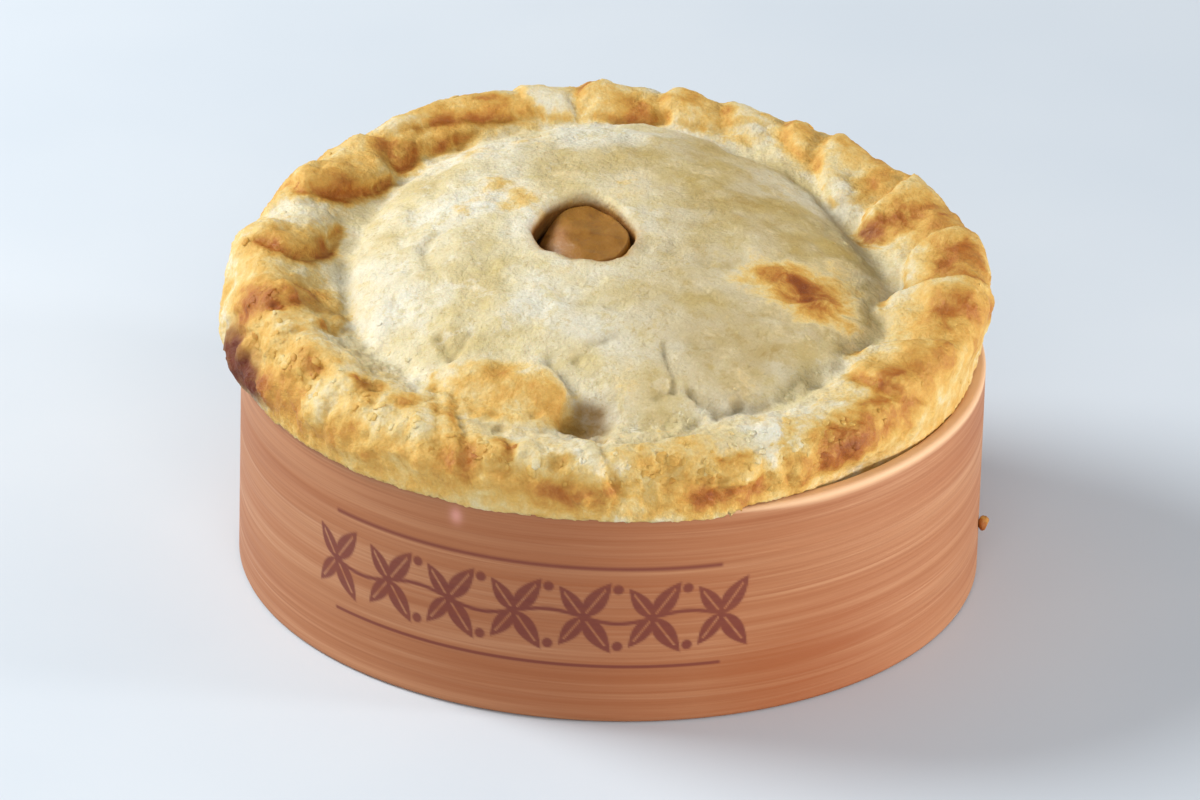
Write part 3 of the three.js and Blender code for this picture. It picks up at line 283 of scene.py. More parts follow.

# browned places, a few of them painted shade (at the pocket in front and in the droop at the left): x, y, z, size,
# strength
BROWNED_AND_SHADED = [
    (13.6, -58.7, 39.5, 1.6, 0.30), (19.5, -56.6, 39.5, 1.4, 0.70), (21.6, -54.7, 37.2, 1.5, 0.80), (23.4, -54.8, 39.4, 1.2, 0.60), (17.6, -56.7, 37.6, 1.4, 0.60), (40.3, 17.6, 49.9, 1.6, 1.30),
    (33.6, -47.7, 43.7, 1.8, 1.20), (35.5, -46.2, 43.9, 1.8, 1.40), (37.4, -44.7, 43.9, 1.6, 1.20), (39.3, -43.1, 43.8, 1.2, 0.90), (35.1, -47.4, 42.4, 1.4, 1.00), (41.3, 15.0, 49.7, 1.4, 1.00),
    (40.9, 17.4, 49.9, 1.8, 1.80), (42.6, 14.2, 49.8, 1.6, 1.20), (45.0, 19.1, 51.0, 1.8, 1.00), (47.7, 18.9, 52.0, 2.0, 0.75), (50.3, 20.8, 53.2, 1.8, 0.60), (53.0, 17.7, 53.3, 1.4, 0.70),
    (39.1, 41.8, 53.5, 1.4, 0.75), (42.7, 38.5, 53.1, 1.2, 0.60), (41.0, 30.6, 52.3, 1.8, 0.35), (53.6, 6.0, 53.5, 2.8, 0.35), (56.8, 5.6, 53.2, 2.4, 0.40), (52.2, -0.2, 52.5, 1.6, 0.85),
    (55.5, -4.1, 53.0, 1.6, 1.00), (59.3, 3.6, 51.2, 1.4, 0.60), (52.5, -13.5, 51.6, 2.0, 0.45), (55.7, -12.0, 51.3, 2.0, 0.65), (59.7, -4.6, 47.1, 1.6, 0.75), (28.7, -11.0, 53.4, 3.0, 1.80),
    (31.3, -12.6, 52.6, 3.1, 1.60), (34.4, -14.2, 51.4, 2.8, 1.10), (23.5, -8.8, 54.6, 3.0, 0.50), (26.0, -7.3, 54.4, 2.4, 0.60), (37.0, -16.4, 49.9, 2.6, 0.45), (52.5, -17.8, 50.7, 2.4, 0.30),
    (39.2, -31.7, 47.7, 1.2, 0.70), (42.4, -33.7, 48.1, 1.6, 1.00), (44.4, -33.6, 47.8, 1.4, 0.90), (52.0, -22.9, 49.1, 1.8, 0.60), (49.2, -28.6, 47.9, 1.6, 0.40), (46.0, -31.2, 48.2, 1.2, 0.40),
    (35.6, -47.1, 42.2, 1.9, 1.80), (37.5, -45.6, 41.9, 1.7, 1.60), (39.0, -43.0, 44.2, 1.5, 1.50), (40.0, -43.3, 42.2, 1.2, 1.30), (34.0, -48.4, 41.8, 1.3, 1.10), (42.1, -38.7, 45.6, 1.8, 0.40),
    (44.8, -36.6, 45.0, 1.8, 0.35), (46.6, -35.6, 43.2, 1.0, 0.60), (43.5, -39.6, 42.6, 1.0, 0.60), (28.8, -51.9, 41.3, 1.6, 0.50), (30.9, -50.6, 39.9, 1.4, 0.50), (24.0, -54.6, 40.7, 1.2, 0.70),
    (20.0, -56.4, 39.5, 1.6, 0.70), (22.0, -53.0, 35.8, 1.6, 0.75), (14.1, -58.5, 39.3, 1.8, 0.90), (15.9, -58.0, 39.8, 1.4, 0.75), (19.8, -54.8, 44.0, 1.2, 0.55), (17.5, -55.6, 44.0, 1.0, 0.50),
    (-23.4, -55.7, 42.9, 1.8, 0.65), (-21.5, -56.7, 42.1, 1.4, 0.40), (-16.8, -53.2, 46.1, 0.8, 0.70), (-16.0, -55.6, 45.7, 0.8, 0.85), (-16.3, -56.8, 44.9, 0.8, 0.70), (-10.1, -60.2, 40.7, 1.5, 0.80),
    (-8.5, -60.5, 39.9, 1.2, 0.70), (-4.6, -60.8, 40.0, 1.6, 0.70), (-1.8, -60.9, 39.1, 1.8, 0.85), (0.2, -60.7, 41.3, 1.0, 0.60), (-6.2, -44.9, 44.7, 1.6, 0.90), (-3.7, -44.4, 45.2, 1.6, 0.80),
    (-24.5, -47.4, 47.4, 1.4, 0.60), (-8.3, -58.7, 44.7, 1.0, 0.50), (4.8, -60.5, 39.7, 2.0, 0.35), (9.1, -59.7, 41.1, 1.6, 0.35), (4.0, -51.8, 46.7, 1.2, 0.45), (-58.1, -13.7, 49.0, 1.6, 0.64),
    (-56.1, -15.4, 50.5, 1.6, 0.56), (-54.5, -17.7, 50.7, 1.0, 0.75), (-58.4, -14.6, 47.7, 1.4, 0.71), (-58.8, -10.1, 49.6, 1.2, 0.49), (-51.7, -15.9, 51.2, 1.8, 0.34), (-49.5, -10.1, 49.9, 1.2, 0.45),
    (-48.2, -10.1, 49.2, 0.8, 0.60), (-60.0, -16.4, 42.0, 1.4, 0.90), (-58.7, -18.5, 43.6, 1.2, 0.80), (-59.4, -19.4, 40.0, 1.4, 1.30), (-58.0, -22.9, 40.7, 1.2, 1.30), (-56.2, -26.3, 42.0, 1.4, 1.10),
    (-55.5, -28.0, 41.1, 1.4, 0.95), (-50.0, -24.8, 50.3, 0.8, 0.56), (-44.8, -19.7, 48.1, 1.4, 0.49), (-38.7, -39.1, 47.9, 1.4, 1.10), (-40.5, -37.5, 48.2, 1.0, 0.70), (-47.4, -33.5, 47.7, 1.2, 0.50),
    (-52.0, -27.1, 48.3, 1.4, 0.26), (-32.1, -43.7, 47.0, 1.0, 0.60), (-40.6, -45.2, 43.2, 1.0, 0.50), (-53.9, -15.2, 29.4, 1.8, 0.70), (-52.1, -20.5, 30.4, 1.8, 0.70), (-55.0, -28.7, 39.3, 1.8, 0.60),
    (-48.4, -35.7, 44.7, 1.0, 0.55), (-55.9, -0.4, 52.8, 1.4, 0.56), (-53.9, -1.2, 52.4, 1.4, 0.68), (-52.0, -0.8, 51.5, 1.0, 0.56), (-50.0, 0.5, 50.5, 1.2, 0.64), (-47.6, 3.4, 49.7, 1.2, 0.86),
    (-46.5, 6.2, 49.7, 1.2, 1.20), (-48.4, 20.4, 53.2, 1.6, 0.36), (-45.5, 21.9, 52.3, 1.6, 0.58), (-43.6, 22.8, 51.8, 1.6, 0.50), (-41.2, 24.2, 51.4, 1.4, 0.65), (-38.8, 26.3, 51.4, 1.2, 0.43),
    (-40.0, 35.6, 54.9, 1.6, 0.36), (-37.9, 37.0, 54.8, 1.4, 0.36), (-38.3, 33.8, 53.5, 1.0, 0.58), (-35.4, 36.2, 53.5, 1.2, 0.75), (-36.1, 32.2, 52.3, 1.2, 1.15), (-34.6, 32.9, 52.2, 1.1, 1.50),
    (-33.9, 35.0, 52.7, 0.8, 0.90), (-29.1, 39.4, 53.2, 1.0, 0.80), (-27.3, 40.7, 53.3, 1.0, 0.90), (-23.5, 48.1, 56.2, 1.4, 0.80), (-21.5, 48.1, 55.9, 1.4, 0.95), (2.9, 51.1, 55.8, 1.6, 0.40),
    (3.7, 49.0, 54.7, 1.0, 0.60), (-4.8, 55.6, 57.1, 1.0, 0.60), (11.4, 51.8, 56.1, 1.4, 0.30), (-7.0, 12.2, 57.5, 1.6, 0.20),
    # the far side, which the front view doesn't show
    (30.0, 52.0, 46.0, 2.4, 0.8), (12.0, 60.0, 44.0, 2.6, 0.75), (-8.0, 61.0, 48.0, 2.2, 0.8), (-24.0, 57.0, 43.0, 2.6, 0.9),
    (-40.0, 48.0, 47.0, 2.2, 0.75), (-52.0, 35.0, 42.0, 2.4, 0.9), (46.0, 40.0, 44.0, 2.4, 0.7), (57.0, 22.0, 45.0, 2.4, 0.75),
    (-60.0, 12.0, 43.0, 2.4, 0.85), (-15.0, 58.0, 40.0, 1.8, 0.9), (20.0, 57.0, 49.0, 1.8, 0.6), (38.0, 47.0, 50.0, 1.8, 0.6),
    (60.0, 3.0, 42.0, 2.0, 0.7), (58.0, -14.0, 43.0, 2.0, 0.7), (-45.0, 43.0, 39.0, 2.0, 0.85), (2.0, 61.0, 40.0, 2.2, 0.75),
]

RNG = np.random.default_rng(20)
GRADIENTS = RNG.normal(size=(256, 3))
GRADIENTS = (GRADIENTS / np.linalg.norm(GRADIENTS, axis=1, keepdims=True)).astype(np.float32)


# ---------------------------------------------------------------- numbers
def around(values):
    """A smooth closed curve through values spaced evenly round the pie."""
    v = np.asarray(values, float)
    n = len(v)

    def at(deg):
        t = (np.asarray(deg) % 360.0) / 360.0 * n
        i = np.floor(t).astype(int)
        u = t - i
        a, b, c, d = v[(i - 1) % n], v[i % n], v[(i + 1) % n], v[(i + 2) % n]
        return b + 0.5 * u * (c - a + u * (2 * a - 5 * b + 4 * c - d + u * (3 * (b - c) + d - a)))

    return at


valley, valley_r = around(RIM_VALLEY), around(RIM_VALLEY_RADIUS)
crest, crest_r = around(RIM_CREST), around(RIM_CREST_RADIUS)
outside, lip, lip_r = around(RIM_OUTSIDE), around(RIM_LIP), around(RIM_LIP_RADIUS)
vent_r = around(VENT_RADII)


def step(a, b, x):
    t = np.clip((x - a) / (b - a), 0.0, 1.0)
    return t * t * (3 - 2 * t)


def turn(a, b):
    """Signed angle from b to a in degrees."""
    return (np.asarray(a) - b + 180.0) % 360.0 - 180.0


def blend(a, b, k):
    """The nearer of two distances, with a soft join k wide."""
    h = np.maximum(k - np.abs(a - b), 0.0) / k
    return np.minimum(a, b) - h * h * k * 0.25


def carve(a, b, k):
    return -blend(-a, b, k)


def noise(p, size, seed):
    """Smooth random values from about -1 to 1; p is (n, 3), size is the size of a lump."""
    q = np.asarray(p, np.float32) / np.float32(size)
    cell = np.floor(q)
    f = q - cell
    c = cell.astype(np.int64)
    u = f * f * f * (f * (f * 6 - 15) + 10)
    total = np.zeros(len(q), np.float32)
    for dx in (0, 1):
        for dy in (0, 1):
            for dz in (0, 1):
                h = (c[:, 0] + dx) * 73856093 ^ (c[:, 1] + dy) * 19349663 ^ (c[:, 2] + dz) * 83492791 ^ seed * 2654435761
                h = (h ^ (h >> 13)) * 1274126177
                g = GRADIENTS[((h ^ (h >> 16)) & 255)]
                d = (f[:, 0] - dx) * g[:, 0] + (f[:, 1] - dy) * g[:, 1] + (f[:, 2] - dz) * g[:, 2]
                w = (u[:, 0] if dx else 1 - u[:, 0]) * (u[:, 1] if dy else 1 - u[:, 1]) * (u[:, 2] if dz else 1 - u[:, 2])
                total += w * d
    return total * 1.7


def layers(p, size, seed, count, keep=0.5):
    total = np.zeros(len(p), np.float32)
    for k in range(count):
        total += noise(p, size * 0.5**k, seed + k) * keep**k
    return total


def flat(x, y):
    return np.stack([x.ravel(), y.ravel(), np.zeros(x.size)], 1)


def dome(x, y):
    s = x * x + y * y
    return DOME_TOP - DOME_SPREAD * s - DOME_DROP * (s / DOME_SHOULDER**2) ** 2 + DOME_TILT * y


def lid(x, y):
    r = np.hypot(x, y)
    deg = np.degrees(np.arctan2(y, x))
    e = valley_r(deg)
    edge = dome(e * np.cos(np.radians(deg)), e * np.sin(np.radians(deg)))
    k = np.minimum(r, e) / e
    inner = np.where(r > e, e / np.maximum(r, 1e-6), 1.0)
    return dome(x * inner, y * inner) + (valley(deg) - edge) * k**3


def strand(r, z, r0, z0, k0, r1, z1, k1):
    """Distance to a thick line in a section of the rim, and how far along it the nearest point is."""
    dr, dz = r1 - r0, z1 - z0
    t = np.clip(((r - r0) * dr + (z - z0) * dz) / (dr * dr + dz * dz), 0.0, 1.0)
    return np.hypot(r - r0 - t * dr, z - z0 - t * dz), t, k0 + t * (k1 - k0)


# ---------------------------------------------------------------- pastry field
X = np.arange(-66.5, 66.51, GRID)
Z = np.arange(26.0, 65.01, GRID)
NX, NZ = len(X), len(Z)
XX, YY = np.meshgrid(X, X, indexing="ij")
RR = np.hypot(XX, YY)
DEG = np.degrees(np.arctan2(YY, XX)) % 360.0

P2 = flat(XX, YY)
top = lid(XX, YY)
top += (0.60 * noise(P2, 15.0, 1) + 0.46 * noise(P2, 7.5, 2) + 0.34 * noise(P2, 3.8, 3) + 0.14 * noise(P2, 2.0, 4)).reshape(XX.shape)
# the lid sinks a little round the valley
top -= 0.35 * np.exp(-(((RR - valley_r(DEG)) / 2.2) ** 2))
slope = np.cos(np.arctan(np.hypot(*np.gradient(top, GRID))))
F = np.maximum((Z[None, None, :] - top[:, :, None]) * slope[:, :, None], RR[:, :, None] - 50.0).astype(np.float32)

# the fold of pastry laid over the edge of the lid in front
def outline_distance(x, y, points):
    """Distance to a closed outline, negative inside it."""
    best, inside_ = np.full(x.shape, 1e9), np.zeros(x.shape, bool)
    for (xa, ya), (xb, yb) in zip(points, points[1:] + points[:1]):
        t = np.clip(((x - xa) * (xb - xa) + (y - ya) * (yb - ya)) / ((xb - xa) ** 2 + (yb - ya) ** 2), 0, 1)
        best = np.minimum(best, np.hypot(x - xa - t * (xb - xa), y - ya - t * (yb - ya)))
        cross = (ya > y) != (yb > y)
        inside_ ^= cross & (x < xa + (y - ya) * (xb - xa) / np.where(cross, yb - ya, 1.0))
    return np.where(inside_, -best, best)


wob = noise(P2, 4.0, 9).reshape(XX.shape) * 0.7 + noise(P2, 1.8, 10).reshape(XX.shape) * 0.3
edge2 = outline_distance(XX, YY, FLAP) + wob
near = edge2 < 4
right_end = step(-16, -7, XX)
flap_top = top + (FLAP_RISE - 0.5 + 0.8 * right_end) * (0.45 + 0.55 * step(0.0, 5.0, -edge2)) + 0.35 * noise(P2, 5.0, 14).reshape(XX.shape)
dz = Z[None, :] - flap_top[near][:, None]
d2 = np.repeat(edge2[near][:, None], NZ, 1)
a, b = np.maximum(d2 + 1.0, 0), np.maximum(dz + 1.0, 0)
F[near] = blend(F[near], (np.hypot(a, b) - 1.0 + np.minimum(np.maximum(d2 + 1.0, dz + 1.0), 0)).astype(np.float32), 0.4)

# the rim's body
ring = RR > 36
r = RR[ring][:, None]
deg = DEG[ring]
z = Z[None, :]
V, VR, C, CR, O, LP, LR = [f(deg)[:, None] for f in (valley, valley_r, crest, crest_r, outside, lip, lip_r)]
M = LP + RIM_BELLY * (C - LP)
body = None
for r0, z0, k0, r1, z1, k1 in (
    (VR + 3.4, V - 4.4, 4.0, CR - 0.4, C - 5.0, 5.0),
    (CR - 0.4, C - 5.0, 5.0, O - 5.2, M, 5.2),
    (O - 5.2, M, 5.2, np.minimum(O, LR) - 4.6, LP + 4.6, 4.6),
):
    d, t, k = strand(r, z, r0, z0, k0, r1, z1, k1)
    body = d - k if body is None else np.minimum(body, d - k)
core = np.maximum(r - 56.0, z - (C - 7.0))
body = blend(body, core, 2.0)
# along the front and the left the rim's foot covers the case's edge and turns down a little outside it
foot = (step(148, 162, deg) * step(303, 284, deg))[:, None]
slit = np.exp(-((turn(deg, 315) / 7.0) ** 2))  # where the pastry stands back from the case
right_side = step(42, 30, np.abs(turn(deg, 332)))
cover = np.minimum(LR, 60.7) * (1 - foot) + 61.2 * foot + ((1.25 - 2.1 * slit) * right_side)[:, None]
low_edge = CASE_HEIGHT + GAP - 0.6 - 0.5 * foot + (0.25 * foot * noise(flat(60 * np.cos(np.radians(deg)), 60 * np.sin(np.radians(deg))), 6.0, 15)[:, None])
skirt = np.maximum(np.maximum(r - cover, z - (LP + 5.0)), low_edge - z)
body = blend(body, skirt, 1.0)
F[ring] = blend(F[ring], body.astype(np.float32), 2.0)


def box(points, reach):
    lo, hi = np.min(points, 0) - reach, np.max(points, 0) + reach
    return (slice(*np.searchsorted(X, [lo[0], hi[0]])), slice(*np.searchsorted(X, [lo[1], hi[1]])), slice(*np.searchsorted(Z, [lo[2], hi[2]])))


def near_points(part, reach):
    """Cells of a part of the field that lie near its surface: their numbers, places and the way the surface faces there."""
    sub = F[part]
    pick = np.abs(sub) < reach
    i, j, k = np.nonzero(pick)
    g = np.stack([q[pick] for q in np.gradient(sub)], 1)
    g /= np.maximum(np.linalg.norm(g, axis=1, keepdims=True), 1e-6)
    return pick, np.stack([X[part[0]][i], X[part[1]][j], Z[part[2]][k]], 1), g


for height, wide, deep, sharp, body_side, off, line in FOLDS:
    line = np.array(line)
    part = box(line, wide + 2)
    pick, q, N = near_points(part, 4.5)
    best = np.full(len(q), 1e9)
    side_, over = np.zeros(len(q)), np.zeros(len(q))
    for n in range(len(line) - 1):
        a, ab = line[n], line[n + 1] - line[n]
        length = np.linalg.norm(ab)
        T = ab / length
        along = (q - a) @ T
        t = np.clip(along, 0, length)
        w = q - a - t[:, None] * T
        B = np.cross(T, N)
        s_ = body_side * (w * B).sum(1)
        beyond = np.abs(along - t) * ((along < 0) if n == 0 else (along > length) if n == len(line) - 2 else False)
        out_of = (w * N).sum(1)
        dist = np.sqrt(np.maximum((w * w).sum(1) - 0.8 * out_of**2, 0))
        closer = dist < best
        best = np.where(closer, dist, best)
        lat = np.sqrt(np.maximum(dist**2 - beyond**2, 0))
        side_ = np.where(closer, np.sign(s_) * lat, side_)
        ends = np.where((along < 0) & (n == 0), beyond / 1.5, beyond / 3.0)
        over = np.where(closer, ends, over)
    side_ = side_ - off + 0.30 * noise(q, 3.0, 16) + 0.14 * noise(q, 1.3, 17)
    t = np.clip((side_ / wide - 0.22) / 0.78, -1, 1)
    outer_part = step(59.2, 56.0, np.hypot(q[:, 0], q[:, 1])) if line[0][1] > -20 else 1.0
    crease = step(-0.5, 3.5, np.linalg.norm(q - line[0], axis=1)) * (0.15 + 0.85 * outer_part)
    over = np.hypot(over, 0.75 * (1 - outer_part))
    roll = height * (1 - t * t) * (side_ >= 0)
    drop = height * 0.92 * (1 - step(0.0, sharp, -side_)) * (side_ < 0) - deep * crease * np.exp(-(((side_ + 0.85 * sharp) / (0.9 * sharp)) ** 2))
    F[part][pick] -= ((roll + drop) * np.exp(-over * over)).astype(np.float32)

# the field is evened out a little, so that no fold leaves a pinhole
for axis in range(3):
    F = 0.25 * np.roll(F, 1, axis) + 0.5 * F + 0.25 * np.roll(F, -1, axis)

for sign, rows_ in ((1, BUMPS), (-1, PITS)):
    for x, y, z_, size, height in rows_:
        part = box(np.array([[x, y, z_]]), size * 2.2)
        gx, gy, gz = np.meshgrid(X[part[0]] - x, X[part[1]] - y, Z[part[2]] - z_, indexing="ij")
        d = np.sqrt(gx * gx + gy * gy + gz * gz) / size
        d = d * (1 + 0.18 * noise(np.stack([gx.ravel() + x, gy.ravel() + y, gz.ravel() + z_], 1), max(size, 1.6), 18).reshape(d.shape))
        F[part] -= (sign * height * np.exp(-d * d)).astype(np.float32)

# smaller lumps of dough on the rim: angle, place across the rim from 0 (inner edge) to 1 (lip), length round, length across, rise
def rim_point(deg, s):
    """A point on the mean surface of the rim and its outward direction in the section."""
    v, vr_, c, cr, o, lp, lr = [float(f(deg)) for f in (valley, valley_r, crest, crest_r, outside, lip, lip_r)]
    m = lp + RIM_BELLY * (c - lp)
    def at(s):
        phi = math.radians(180 - 250 * s)
        if phi > math.pi / 2:
            return cr + (cr - vr_) * math.cos(phi), v + (c - v) * math.sin(phi)
        if phi > 0:
            return cr + (o - cr) * math.cos(phi), m + (c - m) * math.sin(phi)
        w = -phi / math.radians(70)
        return o + (lr - o) * w * w, m + (lp - m) * math.sin(w * math.pi / 2)
    (ra, za), (rb, zb) = at(max(s - 0.02, 0)), at(min(s + 0.02, 1))
    tr, tz = rb - ra, zb - za
    n = math.hypot(tr, tz)
    r, z = at(s)
    return r, z, -tz / n, tr / n, tr / n, tz / n


LUMPS = []
for n in range(84):
    a = 196 + 120 * n / 84 + RNG.uniform(-2, 2)
    LUMPS.append((a, RNG.uniform(0.40, 0.74 if a < 285 else 0.64), RNG.uniform(3.0, 6.0), RNG.uniform(2.6, 4.6), RNG.uniform(0.3, 0.6)))
for n in range(60):
    a = 14 + 150 * n / 60 + RNG.uniform(-2, 2)
    LUMPS.append((a, RNG.uniform(0.5, 0.9), RNG.uniform(4.5, 8.0), RNG.uniform(3.5, 6.0), RNG.uniform(0.25, 0.6)))

for a, s, length, across, rise in LUMPS:
    r, z, nr, nz, tr, tz = rim_point(a, s)
    ca, sa = math.cos(math.radians(a)), math.sin(math.radians(a))
    thick = min(length, across) * 0.42
    centre = np.array([ca * (r - nr * (thick - rise)), sa * (r - nr * (thick - rise)), z - nz * (thick - rise)])
    N, B, T = np.array([ca * nr, sa * nr, nz]), np.array([ca * tr, sa * tr, tz]), np.array([-sa, ca, 0.0])
    tilt = RNG.uniform(-0.7, 0.7)
    T, B = T * math.cos(tilt) + B * math.sin(tilt), B * math.cos(tilt) - T * math.sin(tilt)
    reach = length / 2 + 3
    i0, i1 = np.searchsorted(X, [centre[0] - reach, centre[0] + reach])
    j0, j1 = np.searchsorted(X, [centre[1] - reach, centre[1] + reach])
    k0, k1 = np.searchsorted(Z, [centre[2] - reach, centre[2] + reach])
    gx, gy, gz = np.meshgrid(X[i0:i1] - centre[0], X[j0:j1] - centre[1], Z[k0:k1] - centre[2], indexing="ij")
    e = np.array([length / 2, across / 2, thick])
    q = np.stack([gx * T[0] + gy * T[1] + gz * T[2], gx * B[0] + gy * B[1] + gz * B[2], gx * N[0] + gy * N[1] + gz * N[2]], -1)
    a0 = np.sqrt(((q / e) ** 2).sum(-1))
    a1 = np.sqrt(((q / e**2) ** 2).sum(-1)) + 1e-6
    ball = (a0 * (a0 - 1) / a1).astype(np.float32)
    F[i0:i1, j0:j1, k0:k1] = blend(F[i0:i1, j0:j1, k0:k1], ball, 0.9)

# cracks and folds in the lid
for depth, width, points in CRACKS:
    P = np.array(points, float)
    lo, hi = P.min(0) - 5, P.max(0) + 5
    i0, i1 = np.searchsorted(X, [lo[0], hi[0]])
    j0, j1 = np.searchsorted(X, [lo[1], hi[1]])
    gx, gy = XX[i0:i1, j0:j1], YY[i0:i1, j0:j1]
    w = noise(flat(gx, gy), 2.2, 40).reshape(gx.shape)
    best = np.full(gx.shape, 99.0)
    for (xa, ya), (xb, yb) in zip(P[:-1], P[1:]):
        t = np.clip(((gx - xa) * (xb - xa) + (gy - ya) * (yb - ya)) / ((xb - xa) ** 2 + (yb - ya) ** 2), 0, 1)
        best = np.minimum(best, np.hypot(gx - xa - t * (xb - xa), gy - ya - t * (yb - ya)))
    cut = depth * np.exp(-((best + 0.35 * w) / width) ** 2)
    F[i0:i1, j0:j1] += cut[:, :, None].astype(np.float32)

# the wall that stands in the case, the gap to the case, and the vent
z = Z[None, None, :]
pocket = 1.5 * np.exp(-((turn(DEG, 315) / 7.0) ** 2))
wall_top = 35.0 + 5.5 * step(42, 30, np.abs(turn(DEG, 332)))
wall_r = CASE_RADIUS - CASE_WALL - GAP - pocket[:, :, None] * step(28.0, 31.0, z)
wall = np.maximum(RR[:, :, None] - wall_r, z - wall_top[:, :, None]).astype(np.float32)
F = blend(F, wall, 0.6)
inside_r, outside_r = CASE_RADIUS - CASE_WALL - GAP, CASE_RADIUS + GAP
top_gap = GAP - 0.22 * step(42, 30, np.abs(turn(DEG, 332)))
case_gap = np.maximum(np.maximum(inside_r - RR, RR - outside_r)[:, :, None], z - (CASE_HEIGHT + top_gap)[:, :, None]).astype(np.float32)
inner_keep = np.maximum(RR[:, :, None] - inside_r + pocket[:, :, None], z - 36.0)
vx, vy = XX - VENT_X, YY - VENT_Y
vr = np.hypot(vx, vy)
vdeg = np.degrees(np.arctan2(vy, vx))
hole = (vr - vent_r(vdeg))[:, :, None] + 0.06 * np.clip(z - 51.0, 0, 6)

# unevenness of baked dough, only worked out near the surface
band = np.abs(F) < 2.6
ii, jj, kk = np.nonzero(band)
P3 = np.stack([X[ii], X[jj], Z[kk]], 1).astype(np.float32)
rough = (step(40, 48, RR[ii, jj]) * (0.22 + 0.78 * step(66, 40, np.abs(turn(DEG[ii, jj], 254))))).astype(np.float32)
bump = noise(P3, 8.0, 11) * (0.22 + 0.3 * rough) + noise(P3, 4.0, 12) * (0.27 + 0.3 * rough) + noise(P3, 2.1, 13) * (0.22 + 0.18 * rough)
at_case = step(0.2, 3.2, P3[:, 2] - CASE_HEIGHT - GAP) + (RR[ii, jj] < 55)
F[band] -= bump.astype(np.float32) * np.minimum(0.15 + at_case, 1.0).astype(np.float32) * 0.9
F = carve(F, hole.astype(np.float32), 1.6)
F = np.maximum(F, -case_gap)
F = np.maximum(F, np.where((z < 34) & (RR[:, :, None] < outside_r), RR[:, :, None] - inside_r, -99).astype(np.float32))


# ---------------------------------------------------------------- surface of a field
def surface(F, X, Y, Z, cell_ok):
    """Vertices and four-sided faces of the zero surface of a field, one vertex to a cell."""
    S = F < 0
    n = [s - 1 for s in F.shape]
    corners = [(0, 0, 0), (1, 0, 0), (0, 1, 0), (1, 1, 0), (0, 0, 1), (1, 0, 1), (0, 1, 1), (1, 1, 1)]
    part = [S[a : a + n[0], b : b + n[1], c : c + n[2]] for a, b, c in corners]
    total = sum(p.astype(np.uint8) for p in part)
    active = (total > 0) & (total < 8)
    I, J, K = np.nonzero(active)
    number = np.full(n, -1, np.int64)
    number[I, J, K] = np.arange(len(I))
    val = np.stack([F[I + a, J + b, K + c] for a, b, c in corners], 1)
    pos, cnt = np.zeros((len(I), 3)), np.zeros(len(I))
    for p in range(8):
        for q in range(p + 1, 8):
            if sum(abs(corners[p][m] - corners[q][m]) for m in range(3)) != 1:
                continue
            va, vb = val[:, p], val[:, q]
            cross = (va < 0) != (vb < 0)
            t = np.where(cross, va / np.where(cross, va - vb, 1), 0)
            A, B = np.array(corners[p], float), np.array(corners[q], float)
            pos += np.where(cross[:, None], A + t[:, None] * (B - A), 0)
            cnt += cross
    pos /= cnt[:, None]
    verts = np.stack([X[I], Y[J], Z[K]], 1) + pos * GRID
    faces = []
    for axis in range(3):
        sl0 = [slice(None)] * 3
        sl1 = [slice(None)] * 3
        sl0[axis], sl1[axis] = slice(0, -1), slice(1, None)
        a, b = S[tuple(sl0)], S[tuple(sl1)]
        change = a != b
        i, j, k = np.nonzero(change)
        idx = np.stack([i, j, k], 1)
        o1, o2 = (axis + 1) % 3, (axis + 2) % 3
        ok = (idx[:, o1] > 0) & (idx[:, o2] > 0) & (idx[:, o1] < n[o1]) & (idx[:, o2] < n[o2])
        idx = idx[ok]
        e1, e2 = np.eye(3, dtype=int)[o1], np.eye(3, dtype=int)[o2]
        c0, c1, c2, c3 = idx - e1 - e2, idx - e2, idx, idx - e1
        quad = np.stack([number[tuple(c.T)] for c in (c0, c1, c2, c3)], 1)
        keep = cell_ok(idx, axis)
        flip = ~a[tuple(idx.T)]
        quad[flip] = quad[flip][:, ::-1]
        faces.append(quad[keep])
    faces = np.concatenate(faces)
    faces = faces[(faces >= 0).all(1)]
    used = np.unique(faces)
    back = np.full(len(verts), -1, np.int64)
    back[used] = np.arange(len(used))
    return verts[used], back[faces]


VENT_CUT = float(dome(VENT_X, VENT_Y)) - VENT_DEPTH
cut_k = int(np.searchsorted(Z, VENT_CUT))
wall_k = int(np.searchsorted(Z, 33.2))


def keep_cell(idx, axis):
    rv = np.hypot(X[idx[:, 0]] - VENT_X, X[idx[:, 1]] - VENT_Y)
    in_vent = (rv < 13) & (idx[:, 2] < cut_k)
    in_case = (np.hypot(X[idx[:, 0]], X[idx[:, 1]]) < 58.7) & (idx[:, 2] < wall_k)
    return ~in_vent & ~in_case & (idx[:, 2] > 1)


verts, quads = surface(F, X, X, Z, keep_cell)


def pieces_of(count, faces):
    """Number of the connected piece that each vertex belongs to."""
    label = np.arange(count)
    a = faces[:, [0, 1, 2, 3]].ravel()
    b = faces[:, [1, 2, 3, 0]].ravel()
    while True:
        low = np.minimum(label[a], label[b])
        new = label.copy()
        np.minimum.at(new, a, low)
        np.minimum.at(new, b, low)
        new = new[new]
        if (new == label).all():
            return label
        label = new


label = pieces_of(len(verts), quads)
names, counts = np.unique(label, return_counts=True)
main = names[counts.argmax()]
quads = quads[label[quads[:, 0]] == main]
used = np.unique(quads)
back = np.full(len(verts), -1, np.int64)
back[used] = np.arange(len(used))
verts, quads = verts[used], back[quads]


